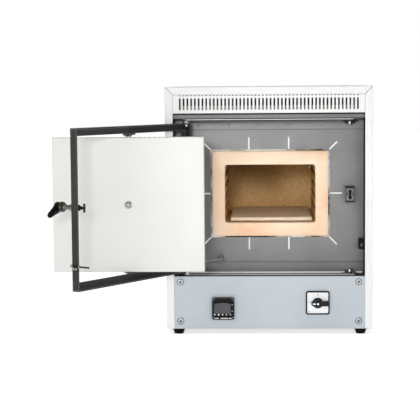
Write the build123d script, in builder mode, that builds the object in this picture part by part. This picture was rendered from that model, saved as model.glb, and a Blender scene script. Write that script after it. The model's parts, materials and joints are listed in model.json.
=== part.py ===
"""Bench-top muffle kiln with a parallel-swinging door, as an assembly of separate pieces.

Units are millimetres. X points right, Y points to the rear and Z points up. The origin is on the
bench, midway between the four feet. The door stands open, as far as it goes.
"""

import os
from math import cos, radians, sin

from build123d import *

# ---- driving dimensions -------------------------------------------------------------------------

# cabinet
CABINET_WIDTH = 440.0
CABINET_DEPTH = 590.0
BODY_HEIGHT = 517.0
FOOT_HEIGHT = 12.0
SHEET = 1.5
LIP = 16.5
LIP_RETURN = 9.0
PANEL_INSET = 0.5
PANEL_GAP = 0.1
MITRE_GAP = 0.8
REAR_FLANGE = 12.0

# heights above the bench
CONTROL_TOP = 125.0
VENT_BOTTOM = 473.0
HEADER_BOTTOM = 460.0

# depths behind the front face of the cabinet
PLATE_DEPTH = 66.0
COLLAR_DEPTH = 57.0

# muffle
CHAMBER_WIDTH = 196.0
CHAMBER_HEIGHT = 126.0
CHAMBER_LENGTH = 290.0
CHAMBER_FLOOR = 234.5
MUFFLE_WALL = 24.0
MUFFLE_OFFSET = 2.5
COLLAR_WIDTH = 252.0
COLLAR_HEIGHT = 185.5
COLLAR_THICKNESS = 20.0
INSULATION_WIDTH = 408.0
INSULATION_TOP = 459.0
REAR_INSULATION = 80.0

# heating coils
COIL_ROWS = 4
COIL_PITCH = 24.6
COIL_RADIUS = 4.5
GROOVE_WIDTH = 12.0
GROOVE_DEPTH = 10.0

# door frame, hinge and swing
HINGE_X = -176.0
HINGE_DEPTH = 20.0
OPEN_ANGLE = 124.0
FRAME_BOTTOM = 133.0
FRAME_TOP = 452.0
ANGLE_LEG = 16.0
ANGLE_WALL = 3.0
FRAME_NEAR = -7.5
FRAME_FAR = 359.5
WEB_FRONT = -9.5
PIN_RADIUS = 4.0
RUNNING_GAP = 0.06

# door panel
PIVOT_ALONG = 176.0
PIVOT_FORWARD = -16.0
DOOR_WIDTH = 310.0
DOOR_BOTTOM = 151.5
DOOR_TOP = 428.0
DOOR_FACE = -8.0
DOOR_RIM = 22.0
DOOR_SHEET = 1.2
SEAL_GAP = 0.6

# link that keeps the door panel parallel to the front
LINK_OFFSET = (71.0, 32.0)
LINK_BOTTOM = 155.5
LINK_THICKNESS = 2.0
LINK_WIDTH = 10.0
STUD_RADIUS = 3.0

# latch and interlock
LATCH_ALONG = 349.5
LATCH_HEIGHT = 297.0
LATCH_X = HINGE_X + LATCH_ALONG
CROSSBAR_REACH = 15.5
LEVER_ARM = 30.0
LEVER_DROP = 29.0
ROD_HEIGHT = 183.0
ROD_RADIUS = 1.7

# controls
CONTROLLER_X = -99.0
CONTROLLER_Z = 56.0
CONTROLLER_SIZE = 48.0
SWITCH_X = 103.0
SWITCH_Z = 68.0
SWITCH_SIZE = 50.0
KEY_COUNT = 5
KEY_PITCH = 8.4
SCREW_X = 190.3
SCREW_HEIGHTS = (28.3, 113.0)

# feet
FOOT_X = 195.0
FOOT_INSET = 15.0

# ---- derived places -----------------------------------------------------------------------------

FRONT = -CABINET_DEPTH / 2
REAR = CABINET_DEPTH / 2
HALF = CABINET_WIDTH / 2
INNER = HALF - SHEET
LIP_EDGE = HALF - LIP
BOTTOM = FOOT_HEIGHT
TOP = FOOT_HEIGHT + BODY_HEIGHT
LIP_TOP = TOP - LIP
SHELF_TOP = CONTROL_TOP - SHEET
PLATE_HALF = LIP_EDGE + 1.0

CHAMBER_ROOF = CHAMBER_FLOOR + CHAMBER_HEIGHT
CHAMBER_MIDDLE = CHAMBER_FLOOR + CHAMBER_HEIGHT / 2
CHAMBER_HALF = CHAMBER_WIDTH / 2
MUFFLE_HALF = CHAMBER_HALF + MUFFLE_WALL
MUFFLE_FRONT = FRONT + COLLAR_DEPTH + COLLAR_THICKNESS
MUFFLE_BACK = MUFFLE_FRONT + CHAMBER_LENGTH
MUFFLE_END = MUFFLE_BACK + MUFFLE_WALL
INSULATION_END = MUFFLE_END + REAR_INSULATION
COIL_FRONT = MUFFLE_FRONT + 22.0
COIL_BACK = MUFFLE_BACK - 18.0
COIL_OUT = CHAMBER_HALF + GROOVE_DEPTH / 2
COIL_HEIGHTS = [CHAMBER_MIDDLE + COIL_PITCH * (row - (COIL_ROWS - 1) / 2) for row in range(COIL_ROWS)]

HINGE_Y = FRONT + HINGE_DEPTH
WEB_BACK = WEB_FRONT + ANGLE_WALL
LEG_BACK = WEB_FRONT + ANGLE_LEG

# The door frame is drawn along its own length: X from the hinge to the latch, Y towards its rear.
SWING = Plane(
    origin=(HINGE_X, HINGE_Y, 0),
    x_dir=(cos(radians(OPEN_ANGLE)), -sin(radians(OPEN_ANGLE)), 0),
    z_dir=(0, 0, 1),
)
PIVOT = SWING.from_local_coords(Vector(PIVOT_ALONG, PIVOT_FORWARD, 0))
# The door panel keeps facing the front, and is drawn from its own pivot axis.
LEAF = Plane(origin=(PIVOT.X, PIVOT.Y, 0), x_dir=(1, 0, 0), z_dir=(0, 0, 1))
# When the door is shut its pivot axis stands this far behind the cabinet's front.
PIVOT_SHUT_DEPTH = HINGE_DEPTH + PIVOT_FORWARD
PLUG_BACK = COLLAR_DEPTH - PIVOT_SHUT_DEPTH - SEAL_GAP


# ---- helpers ------------------------------------------------------------------------------------


def block(x, y, z, plane=Plane.XY, mode=Mode.ADD):
    """Add or cut a rectangular block from its low and high face along each axis of a plane."""
    with BuildSketch(plane.offset(z[0])) as outline:
        with Locations(((x[0] + x[1]) / 2, (y[0] + y[1]) / 2)):
            Rectangle(x[1] - x[0], y[1] - y[0])
    extrude(outline.sketch, amount=z[1] - z[0], mode=mode)


def rod(plane, centre, radius, span, mode=Mode.ADD):
    """Add or cut a round bar along a plane's normal, between two heights over the plane."""
    with BuildSketch(plane.offset(span[0])) as outline:
        with Locations(centre):
            Circle(radius)
    extrude(outline.sketch, amount=span[1] - span[0], mode=mode)


def facing(y):
    """An upright plane at a place along Y, X to the right and Z up, whose normal points forward."""
    return Plane.XZ.offset(-y)


def save(piece, name):
    """Label a finished piece and write it."""
    piece.part.label = name
    export_step(piece.part, f"parts/{name}.step")


os.makedirs("parts", exist_ok=True)

# ---- cabinet shell ------------------------------------------------------------------------------

SCREW_HOLE = 2.6
REAR_SCREW_X = INNER - 7.0
REAR_SCREW_HEIGHTS = (30.0, 195.0, 350.0, 505.0)
REAR_SCREW_SPOTS = [(x, z) for x in (-REAR_SCREW_X, REAR_SCREW_X) for z in REAR_SCREW_HEIGHTS]


def side_panel(side):
    """One folded side of the cabinet: -1 is the left one and 1 the right one."""
    with BuildPart() as panel:
        with BuildSketch(Plane.XY.offset(BOTTOM)) as sheet:
            with Locations((side * (HALF - SHEET / 2), 0)):
                Rectangle(SHEET, CABINET_DEPTH)
        extrude(sheet.sketch, amount=BODY_HEIGHT)
        with BuildSketch(facing(FRONT)) as lip:
            with BuildLine():
                Polyline(
                    (side * INNER, BOTTOM),
                    (side * LIP_EDGE, BOTTOM),
                    (side * LIP_EDGE, LIP_TOP),
                    (side * INNER, TOP - SHEET),
                    close=True,
                )
            make_face()
        extrude(lip.sketch, amount=-SHEET)
        inner_face = sorted((side * LIP_EDGE, side * (LIP_EDGE + SHEET)))
        block(inner_face, (FRONT + SHEET, FRONT + LIP_RETURN), (BOTTOM + SHEET, LIP_TOP))
        rear_face = sorted((side * (INNER - REAR_FLANGE), side * INNER))
        block(rear_face, (REAR - 2 * SHEET, REAR - SHEET), (BOTTOM + SHEET, TOP - 2 * SHEET))
        for height in REAR_SCREW_HEIGHTS:
            spot = (side * REAR_SCREW_X, height)
            rod(facing(REAR), spot, SCREW_HOLE, (0, 2 * SHEET), mode=Mode.SUBTRACT)
        outer_edges = panel.edges().filter_by(Axis.Z).sort_by_distance((side * HALF, FRONT, BOTTOM))
        fillet(outer_edges[0], radius=SHEET * 0.9)
    return panel


left_side_panel = side_panel(-1)
save(left_side_panel, "left_side_panel")

right_side_panel = side_panel(1)
save(right_side_panel, "right_side_panel")

with BuildPart() as top_cover:
    block((-INNER, INNER), (FRONT, REAR), (TOP - SHEET, TOP))
    with BuildSketch(facing(FRONT)) as top_lip:
        with BuildLine():
            Polyline(
                (MITRE_GAP - INNER, TOP - SHEET),
                (MITRE_GAP - LIP_EDGE, LIP_TOP),
                (LIP_EDGE - MITRE_GAP, LIP_TOP),
                (INNER - MITRE_GAP, TOP - SHEET),
                close=True,
            )
        make_face()
    extrude(top_lip.sketch, amount=-SHEET)
    return_half = LIP_EDGE - MITRE_GAP
    block((-return_half, return_half), (FRONT + SHEET, FRONT + LIP_RETURN), (LIP_TOP, LIP_TOP + SHEET))
    flange_half = INNER - REAR_FLANGE - 1.0
    block(
        (-flange_half, flange_half),
        (REAR - 2 * SHEET, REAR - SHEET),
        (TOP - SHEET - REAR_FLANGE, TOP - SHEET),
    )
    front_edge = top_cover.edges().filter_by(Axis.X).sort_by_distance((0, FRONT, TOP))[0]
    fillet(front_edge, radius=SHEET * 0.9)
save(top_cover, "top_cover")

FOOT_SPOTS = [(x, y) for x in (-FOOT_X, FOOT_X) for y in (FRONT + FOOT_INSET, REAR - FOOT_INSET)]
FOOT_BOLT_RADIUS = 3.0

with BuildPart() as base_plate:
    block((-INNER, INNER), (FRONT + PANEL_INSET + SHEET, REAR - SHEET), (BOTTOM, BOTTOM + SHEET))
    with Locations(*[Pos(x, y, BOTTOM) for x, y in FOOT_SPOTS]):
        Hole(radius=FOOT_BOLT_RADIUS, depth=SHEET * 3)
save(base_plate, "base_plate")

with BuildPart() as feet:
    with BuildSketch(Plane.XY) as foot_soles:
        with Locations(*FOOT_SPOTS):
            Circle(10.0)
    with BuildSketch(Plane.XY.offset(FOOT_HEIGHT)) as foot_tops:
        with Locations(*FOOT_SPOTS):
            Circle(13.0)
    for sole, crown in zip(foot_soles.sketch.faces(), foot_tops.sketch.faces()):
        loft([sole, crown])
    for spot in FOOT_SPOTS:
        rod(Plane.XY, spot, FOOT_BOLT_RADIUS, (FOOT_HEIGHT, FOOT_HEIGHT + 8.0))
    fillet(feet.edges().group_by(Axis.Z)[0], radius=1.2)
save(feet, "feet")

GLAND_X = 150.0
GLAND_Z = 62.0
GLAND_THREAD = 8.0
REAR_SLOTS = 14
SLOT_PITCH = 14.0

REAR_VENT_HEIGHTS = (95.0, 440.0)
with BuildPart() as rear_panel:
    rear_half = INNER - 0.2
    block((-rear_half, rear_half), (REAR - SHEET, REAR), (BOTTOM + SHEET, TOP - SHEET))
    with BuildSketch(facing(REAR)) as rear_cuts:
        for row_z in REAR_VENT_HEIGHTS:
            with Locations((0, row_z)):
                with GridLocations(SLOT_PITCH, 1, REAR_SLOTS, 1):
                    SlotOverall(30.0, 4.0, rotation=90)
        with Locations((GLAND_X, GLAND_Z)):
            Circle(GLAND_THREAD)
        with Locations(*REAR_SCREW_SPOTS):
            Circle(SCREW_HOLE)
    extrude(rear_cuts.sketch, amount=SHEET, both=True, mode=Mode.SUBTRACT)
save(rear_panel, "rear_panel")

VENT_SLOTS = 48
VENT_PITCH = 8.0

with BuildPart() as vent_grille:
    grille_half = LIP_EDGE - PANEL_GAP
    grille_front = FRONT + PANEL_INSET
    block(
        (-grille_half, grille_half),
        (grille_front, grille_front + SHEET),
        (VENT_BOTTOM, LIP_TOP - PANEL_GAP),
    )
    block(
        (-grille_half, grille_half),
        (grille_front + SHEET, FRONT + 12.0),
        (VENT_BOTTOM, VENT_BOTTOM + SHEET),
    )
    with BuildSketch(facing(grille_front)) as slots:
        with Locations((0, 492.5)):
            with GridLocations(VENT_PITCH, 1, VENT_SLOTS, 1):
                SlotOverall(25.0, 3.3, rotation=90)
        with Locations((0, LIP_TOP - 2.0)):
            with GridLocations(VENT_PITCH, 1, VENT_SLOTS, 1):
                Rectangle(4.0, 1.2)
    extrude(slots.sketch, amount=-SHEET, mode=Mode.SUBTRACT)
save(vent_grille, "vent_grille")

# The header is one folded strip: a face over the opening, a ledge, and an upstand behind the vents.
HEADER_FRONT = FRONT + 14.0
HEADER_FACE_TOP = VENT_BOTTOM - 1.5
BAFFLE_TOP = 489.0
BAFFLE_HALF = 182.0

with BuildPart() as header_rail:
    block((-INNER, INNER), (HEADER_FRONT, HEADER_FRONT + SHEET), (HEADER_BOTTOM, HEADER_FACE_TOP))
    block(
        (-INNER, INNER),
        (HEADER_FRONT + SHEET, FRONT + PLATE_DEPTH),
        (HEADER_BOTTOM, HEADER_BOTTOM + SHEET),
    )
    block(
        (-BAFFLE_HALF, BAFFLE_HALF),
        (HEADER_FRONT, HEADER_FRONT + SHEET),
        (HEADER_FACE_TOP, BAFFLE_TOP),
    )
save(header_rail, "header_rail")

HINGE_RAIL = 4.0
PIN_SPOT = (HINGE_X, HINGE_Y)

with BuildPart() as top_hinge_rail:
    with BuildSketch(Plane.XY.offset(HEADER_BOTTOM - HINGE_RAIL)) as rail_outline:
        with Locations((0, FRONT + 36.0)):
            Rectangle(366.0, 56.0)
        chamfer(rail_outline.vertices(), length=7.0)
        with Locations(PIN_SPOT):
            Circle(PIN_RADIUS, mode=Mode.SUBTRACT)
    extrude(rail_outline.sketch, amount=HINGE_RAIL)
save(top_hinge_rail, "top_hinge_rail")

with BuildPart() as bottom_hinge_rail:
    with BuildSketch(Plane.XY.offset(SHELF_TOP)) as rail_outline:
        with Locations((0, FRONT + 24.0)):
            Rectangle(370.0, 19.0)
        chamfer(rail_outline.vertices(), length=4.0)
        with Locations(PIN_SPOT):
            Circle(PIN_RADIUS, mode=Mode.SUBTRACT)
    extrude(rail_outline.sketch, amount=HINGE_RAIL)
save(bottom_hinge_rail, "bottom_hinge_rail")

with BuildPart() as hinge_pins:
    rail_top = SHELF_TOP + HINGE_RAIL
    rod(Plane.XY, PIN_SPOT, PIN_RADIUS, (SHELF_TOP, FRAME_BOTTOM + ANGLE_WALL + 3.0))
    rod(Plane.XY, PIN_SPOT, PIN_RADIUS + 2.5, (rail_top, FRAME_BOTTOM - 0.4))
    rod(Plane.XY, PIN_SPOT, PIN_RADIUS, (FRAME_TOP - ANGLE_WALL - 4.0, HEADER_BOTTOM))
    top_collar = (FRAME_TOP + 0.4, HEADER_BOTTOM - HINGE_RAIL)
    rod(Plane.XY, PIN_SPOT, PIN_RADIUS + 2.5, top_collar)
    for rim in (hinge_pins.edges().group_by(Axis.Z)[0], hinge_pins.edges().group_by(Axis.Z)[-1]):
        chamfer(rim, length=0.6)
save(hinge_pins, "hinge_pins")

# Two short sockets on the latch side stand behind the shut door, for hanging it on the other side.
SOCKET_SPOT = (174.0, FRONT + 48.0)

with BuildPart() as spare_sockets:
    rod(Plane.XY, SOCKET_SPOT, 5.0, (SHELF_TOP, SHELF_TOP + 11.0))
    rod(Plane.XY, SOCKET_SPOT, 8.0, (SHELF_TOP, SHELF_TOP + 2.0))
    rod(Plane.XY, SOCKET_SPOT, 5.0, (HEADER_BOTTOM - HINGE_RAIL - 10.0, HEADER_BOTTOM - HINGE_RAIL))
    rod(
        Plane.XY,
        SOCKET_SPOT,
        8.0,
        (HEADER_BOTTOM - HINGE_RAIL - 2.0, HEADER_BOTTOM - HINGE_RAIL),
    )
    socket_mouths = (
        Pos(*SOCKET_SPOT, SHELF_TOP + 11.0),
        Pos(*SOCKET_SPOT, HEADER_BOTTOM - HINGE_RAIL - 10.0) * Rot(180, 0, 0),
    )
    with Locations(*socket_mouths):
        Hole(radius=2.6, depth=8.0)
save(spare_sockets, "spare_sockets")

with BuildPart() as chamber_shelf:
    shelf_front = FRONT + 13.0
    block((-INNER, INNER), (shelf_front, REAR - 4.0), (SHELF_TOP - SHEET, SHELF_TOP))
    block(
        (-INNER, INNER),
        (shelf_front, shelf_front + SHEET),
        (SHELF_TOP - SHEET - 10.0, SHELF_TOP - SHEET),
    )
save(chamber_shelf, "chamber_shelf")

# ---- front plate behind the door ----------------------------------------------------------------

CUTOUT_GAP = 3.0
CUTOUT_HALF_X = COLLAR_WIDTH / 2 + CUTOUT_GAP
CUTOUT_HALF_Z = COLLAR_HEIGHT / 2 + CUTOUT_GAP
EXPANSION_SLOT = 25.0
EXPANSION_WIDTH = 3.0
UPPER_BAND = 436.0
LOWER_BAND = 148.0
PLATE_BOTTOM = 126.5
BAND_RELIEF = 1.0

with BuildPart() as front_plate:
    plate_front = FRONT + PLATE_DEPTH
    block(
        (-PLATE_HALF, PLATE_HALF),
        (plate_front, plate_front + SHEET),
        (PLATE_BOTTOM, HEADER_BOTTOM),
    )
    for heights in ((PLATE_BOTTOM, LOWER_BAND), (UPPER_BAND, HEADER_BOTTOM - HINGE_RAIL - 0.5)):
        block((-PLATE_HALF, PLATE_HALF), (plate_front - BAND_RELIEF, plate_front), heights)
    with BuildSketch(facing(plate_front)) as plate_cuts:
        with Locations((MUFFLE_OFFSET, CHAMBER_MIDDLE)):
            RectangleRounded(2 * CUTOUT_HALF_X, 2 * CUTOUT_HALF_Z, 5.0)
        reach = EXPANSION_SLOT / 2
        for x in (-43.0, 43.0):
            for z in (CHAMBER_MIDDLE - CUTOUT_HALF_Z - reach, CHAMBER_MIDDLE + CUTOUT_HALF_Z + reach):
                with Locations((x, z)):
                    SlotOverall(EXPANSION_SLOT + 4.0, EXPANSION_WIDTH, rotation=90)
        for side in (-1, 1):
            middle_x = MUFFLE_OFFSET + side * (CUTOUT_HALF_X + reach)
            with Locations((middle_x, CHAMBER_MIDDLE)):
                SlotOverall(EXPANSION_SLOT + 4.0, EXPANSION_WIDTH)
            for up in (-1, 1):
                corner = (
                    MUFFLE_OFFSET + side * (CUTOUT_HALF_X + reach * 0.6),
                    CHAMBER_MIDDLE + up * (CUTOUT_HALF_Z + reach * 0.6),
                )
                with Locations(corner):
                    SlotOverall(EXPANSION_SLOT, EXPANSION_WIDTH, rotation=45 * side * up)
    extrude(plate_cuts.sketch, amount=-SHEET, mode=Mode.SUBTRACT)
save(front_plate, "front_plate")

with BuildPart() as fibre_board:
    board_half = INSULATION_WIDTH / 2 - 2.0
    block((-board_half, board_half), (plate_front + SHEET, MUFFLE_FRONT), (SHELF_TOP, INSULATION_TOP))
    with BuildSketch(facing(plate_front)) as board_hole:
        with Locations((MUFFLE_OFFSET, CHAMBER_MIDDLE)):
            Rectangle(COLLAR_WIDTH, COLLAR_HEIGHT)
    extrude(board_hole.sketch, amount=-COLLAR_THICKNESS, mode=Mode.SUBTRACT)
save(fibre_board, "fibre_board")

# ---- muffle and heating -------------------------------------------------------------------------

with BuildPart() as muffle_collar:
    with BuildSketch(facing(FRONT + COLLAR_DEPTH)) as collar_face:
        with Locations((MUFFLE_OFFSET, CHAMBER_MIDDLE)):
            Rectangle(COLLAR_WIDTH, COLLAR_HEIGHT)
            RectangleRounded(CHAMBER_WIDTH, CHAMBER_HEIGHT, 6.0, mode=Mode.SUBTRACT)
    extrude(collar_face.sketch, amount=-COLLAR_THICKNESS)
    corner_edges = muffle_collar.edges().filter_by(Axis.Y)
    fillet([e for e in corner_edges if abs(e.center().X - MUFFLE_OFFSET) > MUFFLE_HALF], radius=3.0)
    front_rims = muffle_collar.faces().sort_by(Axis.Y)[0].edges()
    chamfer(front_rims, length=1.2)
save(muffle_collar, "muffle_collar")

MUFFLE_SPAN = (MUFFLE_OFFSET - MUFFLE_HALF, MUFFLE_OFFSET + MUFFLE_HALF)
COIL_EXIT_SPOTS = [
    (MUFFLE_OFFSET + side * COIL_OUT, height)
    for side in (-1, 1)
    for height in (COIL_HEIGHTS[0], COIL_HEIGHTS[-1])
]
THERMOCOUPLE_SPOT = (MUFFLE_OFFSET + 91.5, 343.0)
EXIT_RADIUS = 6.0

with BuildPart() as muffle_slabs:
    block(MUFFLE_SPAN, (MUFFLE_FRONT, MUFFLE_BACK), (CHAMBER_FLOOR - MUFFLE_WALL, CHAMBER_FLOOR))
    block(MUFFLE_SPAN, (MUFFLE_FRONT, MUFFLE_BACK), (CHAMBER_ROOF, CHAMBER_ROOF + MUFFLE_WALL))
save(muffle_slabs, "muffle_slabs")

with BuildPart() as muffle_back:
    block(
        MUFFLE_SPAN,
        (MUFFLE_BACK, MUFFLE_END),
        (CHAMBER_FLOOR - MUFFLE_WALL, CHAMBER_ROOF + MUFFLE_WALL),
    )
    for spot in COIL_EXIT_SPOTS:
        rod(facing(MUFFLE_END), spot, EXIT_RADIUS, (0, MUFFLE_WALL), mode=Mode.SUBTRACT)
    rod(facing(MUFFLE_END), THERMOCOUPLE_SPOT, 3.8, (0, MUFFLE_WALL), mode=Mode.SUBTRACT)
save(muffle_back, "muffle_back")


def coil_path(exit_y):
    """The winding route of one heating coil in the YZ plane, in and out at the rear."""
    ends = (COIL_FRONT, COIL_BACK)
    with BuildLine() as route:
        Line((exit_y, COIL_HEIGHTS[0]), (ends[0], COIL_HEIGHTS[0]))
        for row in range(COIL_ROWS - 1):
            bend_y = ends[row % 2]
            bulge = -COIL_PITCH / 2 if row % 2 == 0 else COIL_PITCH / 2
            middle = (bend_y + bulge, (COIL_HEIGHTS[row] + COIL_HEIGHTS[row + 1]) / 2)
            ThreePointArc((bend_y, COIL_HEIGHTS[row]), middle, (bend_y, COIL_HEIGHTS[row + 1]))
            far = exit_y if row == COIL_ROWS - 2 else ends[(row + 1) % 2]
            Line((bend_y, COIL_HEIGHTS[row + 1]), (far, COIL_HEIGHTS[row + 1]))
    return route


def muffle_side(side):
    """One grooved side wall of the chamber: -1 is the left one and 1 the right one."""
    inner_x = MUFFLE_OFFSET + side * CHAMBER_HALF
    outer_x = MUFFLE_OFFSET + side * MUFFLE_HALF
    with BuildPart() as wall:
        block(sorted((inner_x, outer_x)), (MUFFLE_FRONT, MUFFLE_BACK), (CHAMBER_FLOOR, CHAMBER_ROOF))
        with BuildSketch(Plane.YZ.offset(inner_x)) as groove:
            trace(coil_path(MUFFLE_BACK).line, line_width=GROOVE_WIDTH)
        extrude(groove.sketch, amount=side * GROOVE_DEPTH, mode=Mode.SUBTRACT)
    return wall


def heating_coil(side):
    """The envelope of one wound heating element, as a round bar that follows its groove."""
    centre_plane = Plane.YZ.offset(MUFFLE_OFFSET + side * COIL_OUT)
    with BuildPart() as coil:
        route = centre_plane.from_local_coords(coil_path(MUFFLE_END + 20.0).line)
        with BuildSketch(Plane(route @ 0, z_dir=route % 0)) as section:
            Circle(COIL_RADIUS)
        sweep(section.sketch, path=route)
    return coil


muffle_left_wall = muffle_side(-1)
save(muffle_left_wall, "muffle_left_wall")

muffle_right_wall = muffle_side(1)
save(muffle_right_wall, "muffle_right_wall")

left_heating_coil = heating_coil(-1)
save(left_heating_coil, "left_heating_coil")

right_heating_coil = heating_coil(1)
save(right_heating_coil, "right_heating_coil")

HEARTH_SPAN = (MUFFLE_OFFSET - 86.5, MUFFLE_OFFSET + 90.5)
HEARTH_LIFT = 2.5
HEARTH_THICKNESS = 7.0

with BuildPart() as hearth_plate:
    hearth_bottom = CHAMBER_FLOOR + HEARTH_LIFT
    hearth_depth = (MUFFLE_FRONT + 1.0, MUFFLE_BACK - 8.0)
    block(HEARTH_SPAN, hearth_depth, (hearth_bottom, hearth_bottom + HEARTH_THICKNESS))
    fillet(hearth_plate.edges().filter_by(Axis.Z), radius=4.0)
    chamfer(hearth_plate.faces().sort_by(Axis.Z)[-1].edges(), length=0.8)
    for runner_x in (-60.0, 60.0):
        block((runner_x - 8.0, runner_x + 8.0), (MUFFLE_FRONT + 20.0, 60.0), (CHAMBER_FLOOR, hearth_bottom))
save(hearth_plate, "hearth_plate")

with BuildPart() as thermocouple:
    tip_y = MUFFLE_BACK - 110.0
    rod(facing(INSULATION_END + 12.0), THERMOCOUPLE_SPOT, 3.6, (0, INSULATION_END + 12.0 - tip_y))
    rod(facing(INSULATION_END + 30.0), THERMOCOUPLE_SPOT, 11.0, (0, 29.0))
    fillet(thermocouple.faces().sort_by(Axis.Y)[0].edges(), radius=2.0)
save(thermocouple, "thermocouple")

# ---- insulation ---------------------------------------------------------------------------------

BLANKET_SPAN = (MUFFLE_FRONT, MUFFLE_END)
BLANKET_HEIGHT = (SHELF_TOP, INSULATION_TOP)

BLANKET_GAP = 0.5

with BuildPart() as muffle_insulation:
    for side in (-1, 1):
        inner_x = MUFFLE_OFFSET + side * (MUFFLE_HALF + BLANKET_GAP)
        block(sorted((inner_x, side * INSULATION_WIDTH / 2)), BLANKET_SPAN, BLANKET_HEIGHT)
    block(MUFFLE_SPAN, BLANKET_SPAN, (CHAMBER_ROOF + MUFFLE_WALL, INSULATION_TOP))
    block(MUFFLE_SPAN, BLANKET_SPAN, (SHELF_TOP, CHAMBER_FLOOR - MUFFLE_WALL))
save(muffle_insulation, "muffle_insulation")

with BuildPart() as rear_insulation:
    block(
        (-INSULATION_WIDTH / 2, INSULATION_WIDTH / 2),
        (MUFFLE_END, INSULATION_END),
        BLANKET_HEIGHT,
    )
    for spot in COIL_EXIT_SPOTS:
        rod(facing(INSULATION_END), spot, EXIT_RADIUS, (0, REAR_INSULATION), mode=Mode.SUBTRACT)
    rod(facing(INSULATION_END), THERMOCOUPLE_SPOT, 3.8, (0, REAR_INSULATION), mode=Mode.SUBTRACT)
save(rear_insulation, "rear_insulation")

# ---- control panel ------------------------------------------------------------------------------

PANEL_FRONT = FRONT + PANEL_INSET
PANEL_BACK = PANEL_FRONT + SHEET
SCREW_SPOTS = [(x, z) for x in (-SCREW_X, SCREW_X) for z in SCREW_HEIGHTS]
KNOB_SHAFT = 3.0
CASE_SIZE = 44.5

with BuildPart() as control_panel:
    control_half = LIP_EDGE - PANEL_GAP
    block((-control_half, control_half), (PANEL_FRONT, PANEL_BACK), (BOTTOM, CONTROL_TOP))
    block((-control_half, control_half), (PANEL_BACK, FRONT + 8.0), (SHELF_TOP - 5.0, SHELF_TOP - 3.5))
    with BuildSketch(facing(PANEL_FRONT)) as panel_cuts:
        with Locations((CONTROLLER_X, CONTROLLER_Z)):
            Rectangle(45.0, 45.0)
        with Locations((SWITCH_X, SWITCH_Z)):
            Circle(KNOB_SHAFT + 2.0)
        with Locations(*SCREW_SPOTS):
            Circle(SCREW_HOLE)
    extrude(panel_cuts.sketch, amount=-SHEET, mode=Mode.SUBTRACT)
save(control_panel, "control_panel")

# The same screw and washer hold the control panel at the front and the rear panel.
WASHER = 1.0
SCREW_HEAD = 2.8
SCREW_LENGTH = 10.0
rear_outward = Plane(origin=(0, REAR, 0), x_dir=(-1, 0, 0), z_dir=(0, 1, 0))
SCREW_PLACES = [(facing(PANEL_FRONT), spot) for spot in SCREW_SPOTS]
SCREW_PLACES += [(rear_outward, spot) for spot in REAR_SCREW_SPOTS]

with BuildPart() as panel_screws:
    for plane, spot in SCREW_PLACES:
        rod(plane, spot, 6.2, (0, WASHER))
        rod(plane, spot, 4.6, (WASHER, SCREW_HEAD))
        rod(plane, spot, 2.5, (-SCREW_LENGTH, 0))
    for plane, spot in SCREW_PLACES:
        with BuildSketch(plane.offset(SCREW_HEAD)) as drive:
            with Locations(spot):
                Rectangle(5.4, 1.1)
                Rectangle(1.1, 5.4)
        extrude(drive.sketch, amount=-1.6, mode=Mode.SUBTRACT)
save(panel_screws, "panel_screws")

BEZEL_FRONT = PANEL_FRONT - 5.5
SCREEN_SPOT = (CONTROLLER_X - 1.3, CONTROLLER_Z + 2.0)
SCREEN_SIZE = (35.5, 23.5)
KEY_Z = CONTROLLER_Z - 13.0
KEY_ROW_SHIFT = -1.2
KEY_SIZE = (6.4, 4.4)
KEY_CLEARANCE = 0.35
KEY_ROW_MIDDLE = CONTROLLER_X + KEY_ROW_SHIFT
KEY_SPOTS = [(KEY_ROW_MIDDLE + KEY_PITCH * (n - (KEY_COUNT - 1) / 2), KEY_Z) for n in range(KEY_COUNT)]

with BuildPart() as controller_body:
    with BuildSketch(facing(PANEL_FRONT)) as bezel:
        with Locations((CONTROLLER_X, CONTROLLER_Z)):
            RectangleRounded(CONTROLLER_SIZE, CONTROLLER_SIZE, 2.0)
    extrude(bezel.sketch, amount=5.5)
    chamfer(controller_body.faces().sort_by(Axis.Y)[0].edges(), length=1.0)
    with BuildSketch(facing(PANEL_FRONT)) as case:
        with Locations((CONTROLLER_X, CONTROLLER_Z)):
            Rectangle(CASE_SIZE, CASE_SIZE)
    extrude(case.sketch, amount=-88.0)
    with BuildSketch(facing(BEZEL_FRONT)) as screen_seat:
        with Locations(SCREEN_SPOT):
            Rectangle(*SCREEN_SIZE)
    extrude(screen_seat.sketch, amount=-2.0, mode=Mode.SUBTRACT)
    with BuildSketch(facing(BEZEL_FRONT)) as key_wells:
        with Locations(*KEY_SPOTS):
            Rectangle(KEY_SIZE[0] + 2 * KEY_CLEARANCE, KEY_SIZE[1] + 2 * KEY_CLEARANCE)
    extrude(key_wells.sketch, amount=-4.5, mode=Mode.SUBTRACT)
save(controller_body, "controller_body")

with BuildPart() as controller_screen:
    with BuildSketch(facing(BEZEL_FRONT + 2.0)) as screen_outline:
        with Locations(SCREEN_SPOT):
            Rectangle(*SCREEN_SIZE)
    extrude(screen_outline.sketch, amount=1.6)
save(controller_screen, "controller_screen")

for number, key_spot in enumerate(KEY_SPOTS, start=1):
    with BuildPart() as controller_key:
        with BuildSketch(facing(BEZEL_FRONT + 3.4)) as key_outline:
            with Locations(key_spot):
                RectangleRounded(*KEY_SIZE, 0.8)
        extrude(key_outline.sketch, amount=4.6)
        fillet(controller_key.faces().sort_by(Axis.Y)[0].edges(), radius=0.5)
    save(controller_key, f"controller_key_{number}")

with BuildPart() as switch_plate:
    with BuildSketch(facing(PANEL_FRONT)) as switch_outline:
        with Locations((SWITCH_X, SWITCH_Z)):
            RectangleRounded(SWITCH_SIZE, SWITCH_SIZE, 3.0)
            Circle(KNOB_SHAFT + RUNNING_GAP, mode=Mode.SUBTRACT)
    extrude(switch_outline.sketch, amount=3.5)
    chamfer(switch_plate.faces().sort_by(Axis.Y)[0].outer_wire().edges(), length=0.8)
save(switch_plate, "switch_plate")

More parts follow.
